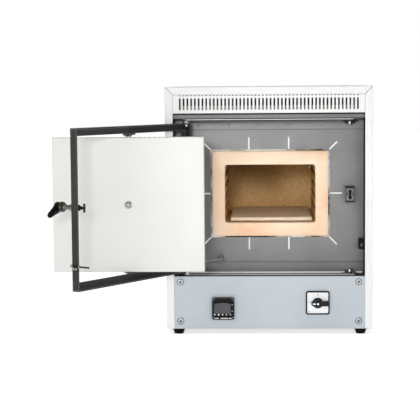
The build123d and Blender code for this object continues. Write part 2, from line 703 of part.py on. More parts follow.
with BuildPart() as switch_body:
    with BuildSketch(facing(PANEL_BACK)) as switch_case:
        with Locations((SWITCH_X, SWITCH_Z)):
            RectangleRounded(46.0, 46.0, 4.0)
            Circle(KNOB_SHAFT + RUNNING_GAP, mode=Mode.SUBTRACT)
    extrude(switch_case.sketch, amount=-58.0)
save(switch_body, "switch_body")

KNOB_BACK = PANEL_FRONT - 3.5 - 0.5
KNOB_REACH = 24.0
KNOB_TAIL = 14.0
KNOB_GRIP = 10.0

with BuildPart() as switch_knob:
    rod(facing(KNOB_BACK), (SWITCH_X, SWITCH_Z), 11.7, (0, 6.0))
    with BuildSketch(facing(KNOB_BACK)) as grip:
        with Locations((SWITCH_X + (KNOB_REACH - KNOB_TAIL) / 2, SWITCH_Z)):
            SlotOverall(KNOB_REACH + KNOB_TAIL, KNOB_GRIP)
    extrude(grip.sketch, amount=17.0)
    fillet(switch_knob.faces().sort_by(Axis.Y)[0].edges(), radius=1.5)
    rod(facing(KNOB_BACK), (SWITCH_X, SWITCH_Z), KNOB_SHAFT, (-24.0, 0))
save(switch_knob, "switch_knob")

# ---- electrical parts in the base ---------------------------------------------------------------

with BuildPart() as solid_state_relay:
    sink_y = 20.0
    block((-150.0, -50.0), (sink_y, sink_y + 90.0), (BOTTOM + SHEET, BOTTOM + SHEET + 6.0))
    for fin in range(8):
        fin_x = -150.0 + fin * 14.0
        block((fin_x, fin_x + 2.0), (sink_y, sink_y + 90.0), (BOTTOM + SHEET + 6.0, 48.0))
    block((-127.0, -82.0), (sink_y + 16.0, sink_y + 74.0), (48.0, 75.0))
save(solid_state_relay, "solid_state_relay")

with BuildPart() as terminal_block:
    terminal_y = (190.0, 214.0)
    block((60.0, 132.0), terminal_y, (BOTTOM + SHEET, 42.0))
    for way in range(6):
        middle = Pos(66.0 + way * 12.0, 202.0, 42.0)
        with Locations(middle):
            CounterBoreHole(radius=1.6, counter_bore_radius=3.6, counter_bore_depth=6.0, depth=18.0)
save(terminal_block, "terminal_block")

CABLE_RADIUS = 4.5
GLAND_LENGTH = 40.0

with BuildPart() as mains_gland:
    with BuildSketch(facing(REAR + 6.0)) as gland_hex:
        with Locations((GLAND_X, GLAND_Z)):
            RegularPolygon(12.0, 6)
    extrude(gland_hex.sketch, amount=6.0)
    rod(facing(REAR + 24.0), (GLAND_X, GLAND_Z), 10.0, (0, 18.0))
    rod(facing(REAR), (GLAND_X, GLAND_Z), GLAND_THREAD, (0, 16.0))
    with BuildSketch(facing(REAR - SHEET)) as lock_nut:
        with Locations((GLAND_X, GLAND_Z)):
            RegularPolygon(12.0, 6)
    extrude(lock_nut.sketch, amount=5.0)
    fillet(mains_gland.faces().sort_by(Axis.Y)[-1].edges(), radius=3.0)
    rod(
        facing(REAR + 24.0),
        (GLAND_X, GLAND_Z),
        CABLE_RADIUS,
        (0, GLAND_LENGTH),
        mode=Mode.SUBTRACT,
    )
save(mains_gland, "mains_gland")

# ---- latch bracket and interlock on the cabinet -------------------------------------------------

BRACKET_HALF_WIDTH = 10.0
BRACKET_HALF_HEIGHT = 16.5
BRACKET_FRONT = FRONT + 30.5
BRACKET_WALL = 2.0
BRACKET_SCREW = 7.0

with BuildPart() as latch_bracket:
    bracket_x = (LATCH_X - BRACKET_HALF_WIDTH, LATCH_X + BRACKET_HALF_WIDTH)
    bracket_y = (BRACKET_FRONT, FRONT + PLATE_DEPTH)
    bracket_z = (LATCH_HEIGHT - BRACKET_HALF_HEIGHT, LATCH_HEIGHT + BRACKET_HALF_HEIGHT)
    block(bracket_x, bracket_y, bracket_z)
    fillet(latch_bracket.edges().filter_by(Axis.X).group_by(Axis.Y)[0], radius=2.5)
    block(
        bracket_x,
        (BRACKET_FRONT + BRACKET_WALL, FRONT + PLATE_DEPTH),
        (bracket_z[0] + BRACKET_WALL, bracket_z[1] - BRACKET_WALL),
        mode=Mode.SUBTRACT,
    )
    with BuildSketch(facing(BRACKET_FRONT)) as bracket_cuts:
        with Locations((LATCH_X, LATCH_HEIGHT)):
            Rectangle(6.0, 14.0)
        with Locations((LATCH_X, LATCH_HEIGHT - 6.6), (LATCH_X, LATCH_HEIGHT + 6.6)):
            Circle(3.8)
        with Locations((LATCH_X - BRACKET_SCREW, LATCH_HEIGHT), (LATCH_X + BRACKET_SCREW, LATCH_HEIGHT)):
            Circle(1.2)
    extrude(bracket_cuts.sketch, amount=-BRACKET_WALL, mode=Mode.SUBTRACT)
save(latch_bracket, "latch_bracket")

LEVER_PLATE_Y = FRONT + 56.5
LEVER_PLATE = 2.0
LEVER_TRAVEL = 3.0
LEVER_Z = (ROD_HEIGHT - 3.0, ROD_HEIGHT + 3.0)
SWITCH_BOX_X = (193.0, 205.5)
SWITCH_BOX_Z = (178.0, 200.0)

with BuildPart() as interlock_switch:
    block(SWITCH_BOX_X, (FRONT + 42.0, FRONT + PLATE_DEPTH), SWITCH_BOX_Z)
    chamfer(interlock_switch.faces().sort_by(Axis.Y)[0].edges(), length=1.0)
    block(
        (SWITCH_BOX_X[0], SWITCH_BOX_X[0] + 8.0),
        (LEVER_PLATE_Y - 0.5, LEVER_PLATE_Y + LEVER_PLATE + LEVER_TRAVEL + 0.5),
        (LEVER_Z[0] - 0.5, LEVER_Z[1] + 0.5),
        mode=Mode.SUBTRACT,
    )
save(interlock_switch, "interlock_switch")

with BuildPart() as interlock_lever:
    block(
        (HINGE_X + FRAME_FAR - 1.5, SWITCH_BOX_X[0] + 7.5),
        (LEVER_PLATE_Y, LEVER_PLATE_Y + LEVER_PLATE),
        LEVER_Z,
    )
    fillet(interlock_lever.faces().sort_by(Axis.X)[0].edges().filter_by(Axis.Y), radius=2.0)
save(interlock_lever, "interlock_lever")

# ---- parallel link between the cabinet and the door panel ---------------------------------------

ANCHOR = (HINGE_X + LINK_OFFSET[0], HINGE_Y + LINK_OFFSET[1])
LUG = (PIVOT.X + LINK_OFFSET[0], PIVOT.Y + LINK_OFFSET[1])
LINK_TOP = LINK_BOTTOM + LINK_THICKNESS
STUD_SHOULDER = 0.3

with BuildPart() as link_bar:
    # The bar is drawn from the anchor, along the line to the lug on the door panel.
    bar_plane = Plane(
        origin=(ANCHOR[0], ANCHOR[1], LINK_BOTTOM),
        x_dir=(LUG[0] - ANCHOR[0], LUG[1] - ANCHOR[1], 0),
        z_dir=(0, 0, 1),
    )
    bar_length = (Vector(*LUG) - Vector(*ANCHOR)).length
    with BuildSketch(bar_plane) as bar_outline:
        with Locations((bar_length / 2, 0)):
            SlotCenterToCenter(bar_length, LINK_WIDTH)
        with Locations((0, 0), (bar_length, 0)):
            Circle(STUD_RADIUS + RUNNING_GAP, mode=Mode.SUBTRACT)
    extrude(bar_outline.sketch, amount=LINK_THICKNESS)
save(link_bar, "link_bar")

ANCHOR_FOOT = 142.0
ANCHOR_LEG = (FRONT + PLATE_DEPTH - BAND_RELIEF - 2.0, FRONT + PLATE_DEPTH - BAND_RELIEF)

with BuildPart() as link_anchor:
    ledge_top = LINK_BOTTOM - STUD_SHOULDER
    block((ANCHOR[0] - 8.0, ANCHOR[0] + 8.0), ANCHOR_LEG, (ANCHOR_FOOT, ledge_top))
    block((ANCHOR[0] - 7.0, ANCHOR[0] + 7.0), (ANCHOR[1] - 7.0, ANCHOR_LEG[0]), (ledge_top - 2.0, ledge_top))
    fillet(link_anchor.edges().filter_by(Axis.Z).group_by(Axis.Y)[0], radius=4.0)
    rod(Plane.XY, ANCHOR, STUD_RADIUS, (ledge_top - 4.0, LINK_TOP + 8.0))
    with BuildSketch(Plane.XY.offset(LINK_TOP + STUD_SHOULDER)) as anchor_nut:
        with Locations(ANCHOR):
            RegularPolygon(5.5, 6)
    extrude(anchor_nut.sketch, amount=4.0)
    with BuildSketch(facing(ANCHOR_LEG[0])) as anchor_bolts:
        with Locations((ANCHOR[0], (ANCHOR_FOOT + ledge_top) / 2)):
            RegularPolygon(3.6, 6)
    extrude(anchor_bolts.sketch, amount=2.4)
save(link_anchor, "link_anchor")

# ---- door frame, drawn along the swing plane ----------------------------------------------------


def long_bar(heights, flange, name):
    """The top or bottom angle of the frame, with the hinge hole through its flange."""
    with BuildPart() as bar:
        block((FRAME_NEAR, FRAME_FAR), (WEB_FRONT, WEB_BACK), heights, SWING)
        block((FRAME_NEAR, FRAME_FAR), (WEB_BACK, LEG_BACK), flange, SWING)
        rod(SWING, (0, 0), PIN_RADIUS + RUNNING_GAP, flange, mode=Mode.SUBTRACT)
    save(bar, name)


long_bar((FRAME_TOP - ANGLE_LEG, FRAME_TOP), (FRAME_TOP - ANGLE_WALL, FRAME_TOP), "frame_top_bar")
long_bar(
    (FRAME_BOTTOM, FRAME_BOTTOM + ANGLE_LEG),
    (FRAME_BOTTOM, FRAME_BOTTOM + ANGLE_WALL),
    "frame_bottom_bar",
)

WEB_HEIGHTS = (FRAME_BOTTOM + ANGLE_LEG, FRAME_TOP - ANGLE_LEG)
LEG_HEIGHTS = (FRAME_BOTTOM + ANGLE_WALL, FRAME_TOP - ANGLE_WALL)
BUSH_RADIUS = 5.5
# An upright plane through the latch shaft: X along the frame and Y up, its normal out to the front.
LATCH_FACE = Plane(
    origin=SWING.from_local_coords(Vector(LATCH_ALONG, 0, LATCH_HEIGHT)),
    x_dir=SWING.x_dir,
    z_dir=-SWING.y_dir,
)

with BuildPart() as frame_free_bar:
    block((FRAME_FAR - ANGLE_LEG, FRAME_FAR), (WEB_FRONT, WEB_BACK), WEB_HEIGHTS, SWING)
    block((FRAME_FAR - ANGLE_WALL, FRAME_FAR), (WEB_BACK, LEG_BACK), LEG_HEIGHTS, SWING)
    rod(LATCH_FACE, (0, 0), BUSH_RADIUS, (-WEB_BACK, -WEB_FRONT), mode=Mode.SUBTRACT)
save(frame_free_bar, "frame_free_bar")

with BuildPart() as frame_hinge_bar:
    block((FRAME_NEAR, FRAME_NEAR + ANGLE_LEG), (WEB_FRONT, WEB_BACK), WEB_HEIGHTS, SWING)
    block((FRAME_NEAR, FRAME_NEAR + ANGLE_WALL), (WEB_BACK, LEG_BACK), LEG_HEIGHTS, SWING)
save(frame_hinge_bar, "frame_hinge_bar")

TAB_HEIGHTS = (
    (FRAME_BOTTOM + ANGLE_LEG, FRAME_BOTTOM + ANGLE_LEG + ANGLE_WALL - 1.0),
    (FRAME_TOP - ANGLE_LEG - ANGLE_WALL, FRAME_TOP - ANGLE_LEG),
)

with BuildPart() as pivot_brackets:
    for heights in TAB_HEIGHTS:
        block((PIVOT_ALONG - 10.0, PIVOT_ALONG + 10.0), (-25.0, -4.0), heights, SWING)
        hole = PIN_RADIUS + RUNNING_GAP
        rod(SWING, (PIVOT_ALONG, PIVOT_FORWARD), hole, heights, mode=Mode.SUBTRACT)
    swing_edges = pivot_brackets.edges().filter_by(Axis.Z)
    tab_corners = [e for e in swing_edges if SWING.to_local_coords(e.center()).Y < -24.0]
    fillet(tab_corners, radius=6.0)
save(pivot_brackets, "pivot_brackets")

SHAFT_RADIUS = 4.0
BUSH_END = 36.0

with BuildPart() as latch_bush:
    rod(LATCH_FACE, (0, 0), BUSH_RADIUS, (-WEB_BACK, BUSH_END))
    with BuildSketch(LATCH_FACE.offset(-WEB_FRONT)) as bush_hex:
        RegularPolygon(8.6, 6)
    extrude(bush_hex.sketch, amount=6.0)
    with BuildSketch(LATCH_FACE.offset(-WEB_BACK)) as back_nut:
        RegularPolygon(6.7, 6)
    extrude(back_nut.sketch, amount=-8.0)
    rod(LATCH_FACE, (0, 0), SHAFT_RADIUS + RUNNING_GAP, (-WEB_BACK - 8.0, BUSH_END), mode=Mode.SUBTRACT)
save(latch_bush, "latch_bush")

ROD_ALONG = FRAME_FAR + 0.2 + ROD_RADIUS
with BuildPart() as interlock_rod:
    rod_plane = Plane(
        origin=SWING.from_local_coords(Vector(ROD_ALONG, 0, ROD_HEIGHT)),
        x_dir=SWING.x_dir,
        z_dir=SWING.y_dir,
    )
    rod(rod_plane, (0, 0), ROD_RADIUS, (-12.0, 36.0))
    block((FRAME_FAR, ROD_ALONG + 0.6), (-7.0, 4.0), (ROD_HEIGHT - 9.0, ROD_HEIGHT + 2.0), SWING)
save(interlock_rod, "interlock_rod")

# ---- latch --------------------------------------------------------------------------------------

HUB_FRONT = 58.0
HUB_BACK = 37.5
HUB_RADIUS = 10.0
LEVER_BACK = 45.5
LEVER_THICKNESS = 10.0
LEVER_END_RADIUS = 5.75
NECK_START = -8.0
CROSSBAR_HALF = 9.0
CROSSBAR_RADIUS = 2.25

with BuildPart() as latch_shaft:
    rod(LATCH_FACE, (0, 0), SHAFT_RADIUS, (NECK_START, HUB_FRONT - 6.0))
    rod(LATCH_FACE, (0, 0), 2.5, (-CROSSBAR_REACH - 1.0, NECK_START))
    crossbar_plane = Plane(
        origin=LATCH_FACE.from_local_coords(Vector(0, 0, -CROSSBAR_REACH)),
        x_dir=LATCH_FACE.x_dir,
        z_dir=(0, 0, 1),
    )
    rod(crossbar_plane, (0, 0), CROSSBAR_RADIUS, (-CROSSBAR_HALF, CROSSBAR_HALF))
save(latch_shaft, "latch_shaft")

with BuildPart() as latch_handle:
    rod(LATCH_FACE, (0, 0), HUB_RADIUS, (HUB_BACK, HUB_FRONT))
    drop = radians(LEVER_DROP)
    tip = (LEVER_ARM * cos(drop), -LEVER_ARM * sin(drop))
    with BuildSketch(LATCH_FACE.offset(LEVER_BACK)) as lever:
        with BuildLine():
            Polyline(
                (HUB_RADIUS * sin(drop), HUB_RADIUS * cos(drop)),
                (tip[0] + LEVER_END_RADIUS * sin(drop), tip[1] + LEVER_END_RADIUS * cos(drop)),
                (tip[0] - LEVER_END_RADIUS * sin(drop), tip[1] - LEVER_END_RADIUS * cos(drop)),
                (-HUB_RADIUS * sin(drop), -HUB_RADIUS * cos(drop)),
                close=True,
            )
        make_face()
        with Locations(tip):
            Circle(LEVER_END_RADIUS)
    extrude(lever.sketch, amount=LEVER_THICKNESS)
    hub_nose = LATCH_FACE.from_local_coords(Vector(0, 0, HUB_FRONT))
    fillet(latch_handle.faces().sort_by_distance(hub_nose)[0].edges(), radius=2.0)
    rod(LATCH_FACE, (0, 0), SHAFT_RADIUS, (HUB_BACK, HUB_FRONT - 6.0), mode=Mode.SUBTRACT)
save(latch_handle, "latch_handle")

# ---- door panel, drawn from its pivot axis ------------------------------------------------------

DOOR_HALF = DOOR_WIDTH / 2
DOOR_HEIGHTS = (DOOR_BOTTOM, DOOR_TOP)
DOOR_MIDDLE = (DOOR_BOTTOM + DOOR_TOP) / 2
NOTCH_COUNT = 17
NOTCH_PITCH = 10.0
LEAF_FACE = Plane(origin=LEAF.from_local_coords(Vector(0, DOOR_FACE, 0)), x_dir=(1, 0, 0), z_dir=(0, -1, 0))

with BuildPart() as door_skin:
    block((-DOOR_HALF, DOOR_HALF), (DOOR_FACE, DOOR_FACE + DOOR_RIM), DOOR_HEIGHTS, LEAF)
    fillet(door_skin.faces().sort_by(Axis.Y)[0].edges(), radius=1.1)
    inner_half = DOOR_HALF - DOOR_SHEET
    block(
        (-inner_half, inner_half),
        (DOOR_FACE + DOOR_SHEET, DOOR_FACE + DOOR_RIM),
        (DOOR_BOTTOM + DOOR_SHEET, DOOR_TOP - DOOR_SHEET),
        LEAF,
        mode=Mode.SUBTRACT,
    )
    for notch in range(NOTCH_COUNT):
        notch_x = NOTCH_PITCH * (notch - (NOTCH_COUNT - 1) / 2)
        if abs(notch_x) > 9.0:
            block(
                (notch_x - 2.8, notch_x + 2.8),
                (DOOR_FACE, 2.0),
                (DOOR_TOP - 1.7, DOOR_TOP),
                LEAF,
                mode=Mode.SUBTRACT,
            )
    rod(LEAF, (0, 0), PIN_RADIUS, (DOOR_TOP - DOOR_SHEET, DOOR_TOP), mode=Mode.SUBTRACT)
    rod(LEAF, (0, 0), PIN_RADIUS, (DOOR_BOTTOM, DOOR_BOTTOM + DOOR_SHEET), mode=Mode.SUBTRACT)
    rod(LEAF_FACE, (0, DOOR_MIDDLE), 3.0, (-DOOR_SHEET, 0), mode=Mode.SUBTRACT)
save(door_skin, "door_skin")

with BuildPart() as door_plug:
    block(
        (-inner_half + 3.0, inner_half - 3.0),
        (DOOR_FACE + DOOR_SHEET, DOOR_FACE + DOOR_RIM - 2.0),
        (DOOR_BOTTOM + 8.0, DOOR_TOP - 8.0),
        LEAF,
    )
    block(
        (MUFFLE_OFFSET - COLLAR_WIDTH / 2, MUFFLE_OFFSET + COLLAR_WIDTH / 2),
        (DOOR_FACE + DOOR_RIM - 2.0, PLUG_BACK),
        (CHAMBER_MIDDLE - COLLAR_HEIGHT / 2, CHAMBER_MIDDLE + COLLAR_HEIGHT / 2),
        LEAF,
    )
    chamfer(door_plug.faces().sort_by(Axis.Y)[-1].edges(), length=4.0)
    rod(LEAF_FACE, (0, DOOR_MIDDLE), 3.0, (-DOOR_SHEET - 22.0, -DOOR_SHEET), mode=Mode.SUBTRACT)
save(door_plug, "door_plug")

with BuildPart() as link_lug:
    slab_back = DOOR_FACE + DOOR_RIM - 2.0
    lug_span = (LINK_OFFSET[0] - 9.0, LINK_OFFSET[0] + 9.0)
    lug_base = LINK_TOP + 4.5
    block(lug_span, (slab_back, slab_back + 2.0), (lug_base, lug_base + 24.0), LEAF)
    block(lug_span, (slab_back + 2.0, LINK_OFFSET[1] + 8.0), (lug_base, lug_base + 2.0), LEAF)
    fillet(link_lug.edges().filter_by(Axis.Z).group_by(Axis.Y)[-1], radius=4.0)
    rod(LEAF, LINK_OFFSET, STUD_RADIUS + 2.0, (LINK_TOP + STUD_SHOULDER, lug_base))
    rod(LEAF, LINK_OFFSET, STUD_RADIUS, (LINK_BOTTOM - 3.5, LINK_TOP + STUD_SHOULDER))
save(link_lug, "link_lug")

BOLT_HEAD_RADIUS = 5.8
with BuildPart() as pivot_bolts:
    top_tab = TAB_HEIGHTS[1]
    bottom_tab = TAB_HEIGHTS[0]
    rod(LEAF, (0, 0), PIN_RADIUS, (DOOR_TOP - 6.0, top_tab[1] + 1.0))
    rod(LEAF, (0, 0), 6.6, (DOOR_TOP, DOOR_TOP + 4.4))
    rod(LEAF, (0, 0), 6.6, (DOOR_TOP - 5.0, DOOR_TOP - DOOR_SHEET))
    rod(LEAF, (0, 0), BOLT_HEAD_RADIUS, (top_tab[1] + 0.4, top_tab[1] + 4.4))
    rod(LEAF, (0, 0), PIN_RADIUS, (bottom_tab[0] - 1.0, DOOR_BOTTOM + 6.0))
    rod(LEAF, (0, 0), 6.6, (DOOR_BOTTOM + DOOR_SHEET, DOOR_BOTTOM + 5.0))
    rod(LEAF, (0, 0), BOLT_HEAD_RADIUS, (bottom_tab[0] - 4.4, bottom_tab[0] - 0.4))
save(pivot_bolts, "pivot_bolts")

with BuildPart() as centre_cap:
    rod(LEAF_FACE, (0, DOOR_MIDDLE), 8.0, (0, 1.6))
    rod(LEAF_FACE, (0, DOOR_MIDDLE), 5.5, (1.6, 5.0))
    fillet(centre_cap.faces().sort_by(Axis.Y)[0].edges(), radius=1.2)
    with BuildSketch(LEAF_FACE.offset(5.0)) as cap_slot:
        with Locations((0, DOOR_MIDDLE)):
            Rectangle(12.0, 1.6, rotation=20)
    extrude(cap_slot.sketch, amount=-2.0, mode=Mode.SUBTRACT)
    rod(LEAF_FACE, (0, DOOR_MIDDLE), 2.9, (-DOOR_SHEET - 18.0, 0))
save(centre_cap, "centre_cap")
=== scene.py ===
"""The look of the bench-top muffle kiln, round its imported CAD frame. Metres; +X right, +Y rear, +Z up."""

import json
from math import cos, pi, radians, sin, sqrt

import bmesh
import bpy
from mathutils import Matrix, Vector


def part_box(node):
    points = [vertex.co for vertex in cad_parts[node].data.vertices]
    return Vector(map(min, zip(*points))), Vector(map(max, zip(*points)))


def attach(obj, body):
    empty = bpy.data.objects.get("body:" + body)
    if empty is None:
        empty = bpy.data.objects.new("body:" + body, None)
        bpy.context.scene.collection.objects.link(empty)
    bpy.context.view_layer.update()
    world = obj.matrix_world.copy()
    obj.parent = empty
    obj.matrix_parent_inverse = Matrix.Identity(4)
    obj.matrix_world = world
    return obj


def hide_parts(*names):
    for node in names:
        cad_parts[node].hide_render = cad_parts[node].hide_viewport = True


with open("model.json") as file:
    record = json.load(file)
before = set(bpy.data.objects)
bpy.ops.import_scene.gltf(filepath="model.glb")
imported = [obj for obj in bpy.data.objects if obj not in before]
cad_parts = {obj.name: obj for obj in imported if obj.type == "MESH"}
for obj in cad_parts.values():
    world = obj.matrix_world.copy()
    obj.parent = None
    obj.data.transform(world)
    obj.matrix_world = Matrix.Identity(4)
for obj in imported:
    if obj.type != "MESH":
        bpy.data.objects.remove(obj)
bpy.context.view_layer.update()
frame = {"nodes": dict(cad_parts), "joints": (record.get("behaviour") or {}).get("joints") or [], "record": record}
nodes = frame["nodes"]
joints = {j["name"]: j for j in frame["joints"]}
MM = 0.001

# the space inside the cabinet's painted sheet, where the paint turns near black as painted shade
SHEET = Vector((1.1, 1.1, 1.1)) * MM
INNER_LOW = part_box("left_side_panel")[0] + SHEET
cabinet_far = Vector((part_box("right_side_panel")[1].x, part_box("rear_panel")[1].y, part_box("top_cover")[1].z))
INNER_HIGH = cabinet_far - SHEET


# ---- materials ----------------------------------------------------------------------------------

# sockets of the Mix node when it mixes colours
MIX_FACTOR, MIX_A, MIX_B, MIX_RESULT = 0, 6, 7, 2

# cosines between a face's own normal and the softened one: a flat face, and a full edge
FLAT_FACE, FULL_EDGE = 0.995, 0.85


class Paint:
    """A node-based material: colour mottling, fine bump, and constants on the shader's own sockets."""

    def __init__(self, name, roughness=0.5, metallic=0.0, specular=0.5, coat=0.0, coat_rough=0.1):
        self.mat = bpy.data.materials.new(name)
        self.mat.use_nodes = True
        self.tree = self.mat.node_tree
        self.shader = self.tree.nodes["Principled BSDF"]
        self.shader.inputs["Roughness"].default_value = roughness
        self.shader.inputs["Metallic"].default_value = metallic
        self.shader.inputs["Specular IOR Level"].default_value = specular
        self.shader.inputs["Coat Weight"].default_value = coat
        self.shader.inputs["Coat Roughness"].default_value = coat_rough
        self.coords = self.tree.nodes.new("ShaderNodeTexCoord").outputs["Object"]
        self.height = None

    def node(self, kind, **settings):
        made = self.tree.nodes.new(kind)
        for key, value in settings.items():
            setattr(made, key, value)
        return made

    def link(self, a, b):
        self.tree.links.new(a, b)

    def place(self, scale=(1, 1, 1)):
        """Coordinates stretched by a scale."""
        mapping = self.node("ShaderNodeMapping")
        mapping.inputs["Scale"].default_value = scale
        self.link(self.coords, mapping.inputs["Vector"])
        return mapping.outputs["Vector"]

    def noise(self, scale, detail=3.0, rough=0.55, stretch=(1, 1, 1), distort=0.0):
        """Cloudy noise from 0 to 1, finer with a larger scale."""
        made = self.node("ShaderNodeTexNoise")
        made.inputs["Scale"].default_value = scale
        made.inputs["Detail"].default_value = detail
        made.inputs["Roughness"].default_value = rough
        made.inputs["Distortion"].default_value = distort
        self.link(self.place(stretch), made.inputs["Vector"])
        return made.outputs["Fac"]

    def ramp(self, fac, stops):
        """A colour for each value of a factor, from (position, colour) stops."""
        made = self.node("ShaderNodeValToRGB")
        elements = made.color_ramp.elements
        while len(elements) < len(stops):
            elements.new(0.5)
        for element, (position, colour) in zip(elements, stops):
            element.position = position
            element.color = (*colour, 1)
        self.link(fac, made.inputs["Fac"])
        return made.outputs["Color"]

    def mix(self, a, b, fac):
        """A blend of two colours by a factor from 0 to 1; each may be a socket or a constant."""
        made = self.node("ShaderNodeMix", data_type="RGBA")
        for value, key in ((a, MIX_A), (b, MIX_B), (fac, MIX_FACTOR)):
            if hasattr(value, "is_linked"):
                self.link(value, made.inputs[key])
            elif key == MIX_FACTOR:
                made.inputs[key].default_value = value
            else:
                made.inputs[key].default_value = (*value, 1)
        return made.outputs[MIX_RESULT]

    def colour(self, socket):
        self.link(socket, self.shader.inputs["Base Color"])

    def rough(self, fac, low, high):
        """Roughness between two values, as a factor goes from 0 to 1."""
        made = self.node("ShaderNodeMapRange")
        made.inputs["To Min"].default_value = low
        made.inputs["To Max"].default_value = high
        self.link(fac, made.inputs["Value"])
        self.link(made.outputs["Result"], self.shader.inputs["Roughness"])

    def bump(self, height, strength, distance):
        """Relief from a height, on top of any relief so far."""
        made = self.node("ShaderNodeBump")
        made.inputs["Strength"].default_value = strength
        made.inputs["Distance"].default_value = distance
        self.link(height, made.inputs["Height"])
        if self.height is not None:
            self.link(self.height, made.inputs["Normal"])
        self.height = made.outputs["Normal"]
        self.link(self.height, self.shader.inputs["Normal"])

    def within(self, low, high):
        """One inside a box, in the piece's own coordinates, and nothing outside it."""
        split = self.node("ShaderNodeSeparateXYZ")
        self.link(self.coords, split.inputs[0])
        mask = None
        for axis in range(3):
            for limit, operation in ((low[axis], "GREATER_THAN"), (high[axis], "LESS_THAN")):
                test = self.node("ShaderNodeMath", operation=operation)
                self.link(split.outputs[axis], test.inputs[0])
                test.inputs[1].default_value = limit
                both = self.node("ShaderNodeMath", operation="MULTIPLY")
                self.link(test.outputs[0], both.inputs[0])
                both.inputs[1].default_value = 1.0
                if mask is not None:
                    self.link(mask, both.inputs[1])
                mask = both.outputs[0]
        return mask

    def near(self, centre, reach):
        """One at a point, fading to nothing at a distance, in the piece's own coordinates."""
        away = self.node("ShaderNodeVectorMath", operation="DISTANCE")
        self.link(self.coords, away.inputs[0])
        away.inputs[1].default_value = centre
        fade = self.node("ShaderNodeMapRange", interpolation_type="SMOOTHSTEP")
        fade.inputs["From Min"].default_value = reach
        fade.inputs["From Max"].default_value = 0.0
        self.link(away.outputs["Value"], fade.inputs["Value"])
        return fade.outputs["Result"]

    def edge_wear_and_shade(self, base, worn, radius, amount):
        """A lighter or darker tone along edges, from the difference between a bevelled and a true normal; the tone
        named worn is wear on the dark frame and painted shade on pale paint.
        """
        bevel = self.node("ShaderNodeBevel", samples=4)
        bevel.inputs["Radius"].default_value = radius
        geometry = self.node("ShaderNodeNewGeometry")
        dot = self.node("ShaderNodeVectorMath", operation="DOT_PRODUCT")
        self.link(bevel.outputs["Normal"], dot.inputs[0])
        self.link(geometry.outputs["Normal"], dot.inputs[1])
        edge = self.node("ShaderNodeMapRange")
        edge.inputs["From Min"].default_value = FLAT_FACE
        edge.inputs["From Max"].default_value = FULL_EDGE
        edge.inputs["To Max"].default_value = amount
        self.link(dot.outputs["Value"], edge.inputs["Value"])
        return self.mix(base, worn, edge.outputs["Result"])


def powder_coat(
    name, low, high, roughness, texture=900, strength=0.08, specular=0.45, inside=None, edge=None
):
    """Baked paint with a faint orange peel and a slight drift in tone; edges can be worn or greyed with painted
    shade, and the inside painted near black as shade.
    """
    p = Paint(name, roughness, specular=specular, coat=0.08 * specular, coat_rough=0.25)
    tone = p.ramp(p.noise(6, 2), [(0.3, low), (0.7, high)])
    if edge:
        tone = p.edge_wear_and_shade(tone, *edge)
    # the inside is painted near black: painted shade, which darkens the vent slots and the gaps behind the front
    if inside:
        tone = p.mix(tone, inside, p.within(INNER_LOW, INNER_HIGH))
    p.colour(tone)
    p.rough(p.noise(40, 3), roughness - 0.05, roughness + 0.06)
    p.bump(p.noise(texture, 2), strength, 0.00005)
    return p.mat


def sheet_steel(name, low, high, along, roughness=0.38, metallic=0.75, grain=18, lines=()):
    """Rolled bare sheet: streaks along the rolling direction, blotches, and painted shade or painted highlight in
    given boxes.
    """
    p = Paint(name, roughness, metallic, specular=0.5)
    streak = p.noise(grain, 4, 0.6, along)
    blotch = p.noise(9, 4, 0.6)
    streaked = p.ramp(streak, [(0.3, low), (0.75, high)])
    blotched = p.ramp(blotch, [(0.35, low), (0.7, high)])
    tone = p.mix(streaked, blotched, 0.5)
    for low_corner, high_corner, shade in lines:
        tone = p.mix(tone, shade, p.within(low_corner, high_corner))
    p.colour(tone)
    p.rough(streak, roughness - 0.07, roughness + 0.12)
    p.bump(streak, 0.05, 0.00003)
    p.bump(p.noise(25, 2), 0.10, 0.0004)
    return p.mat


SPECK_FADE = 0.14


def fibre_ceramic(
    name, stops, grain, speck, roughness=0.9, scale=420, cover=0.35, onset=0.56, glow=0.0, shade_spots=()
):
    """Dense cast fibre: cloudy tone, small darker specks, soft round patches of painted shade, a faint glow that
    is painted light, and a pitted matt surface.
    """
    p = Paint(name, roughness, specular=0.15)
    # a glow here is painted light
    p.shader.inputs["Emission Color"].default_value = (1, 1, 1, 1)
    p.shader.inputs["Emission Strength"].default_value = glow
    cloud = p.ramp(p.noise(11, 4, 0.62, distort=0.4), stops)
    fine = p.noise(scale, 3, 0.7)
    mask = p.node("ShaderNodeMapRange")
    mask.inputs["From Min"].default_value = onset
    mask.inputs["From Max"].default_value = onset + SPECK_FADE
    mask.inputs["To Max"].default_value = cover
    p.link(fine, mask.inputs["Value"])
    toned = p.mix(cloud, speck, mask.outputs["Result"])
    for centre, reach, shade in shade_spots:
        toned = p.mix(toned, shade, p.near(centre, reach))
    p.colour(toned)
    p.bump(fine, grain, 0.0004)
    p.bump(p.noise(60, 4, 0.6), 0.25, 0.0008)
    return p.mat


def plastic(name, low, high, roughness, texture=1400, strength=0.12, specular=0.5):
    """Moulded plastic with a fine texture and slightly uneven gloss."""
    p = Paint(name, roughness, specular=specular)
    p.colour(p.ramp(p.noise(30, 3), [(0.3, low), (0.7, high)]))
    p.rough(p.noise(150, 3), roughness - 0.06, roughness + 0.08)
    p.bump(p.noise(texture, 2), strength, 0.00006)
    return p.mat


def bright_metal(name, low, high, roughness=0.25, stretch=(1, 1, 1), scale=220):
    """Bare or plated metal with fine tarnish."""
    p = Paint(name, roughness, 1.0)
    lines = p.noise(scale, 3, 0.6, stretch)
    p.colour(p.ramp(lines, [(0.3, low), (0.7, high)]))
    p.rough(lines, roughness - 0.08, roughness + 0.12)
    p.bump(lines, 0.08, 0.00004)
    return p.mat


# edge tones: colour, reach in metres and how strongly it shows; the grey one is painted shade along edges and
# seams, the other wear
EDGE_SHADE = ((0.30, 0.30, 0.30), 0.0018, 0.9)
WORN_EDGE = ((0.36, 0.35, 0.33), 0.0010, 0.9)
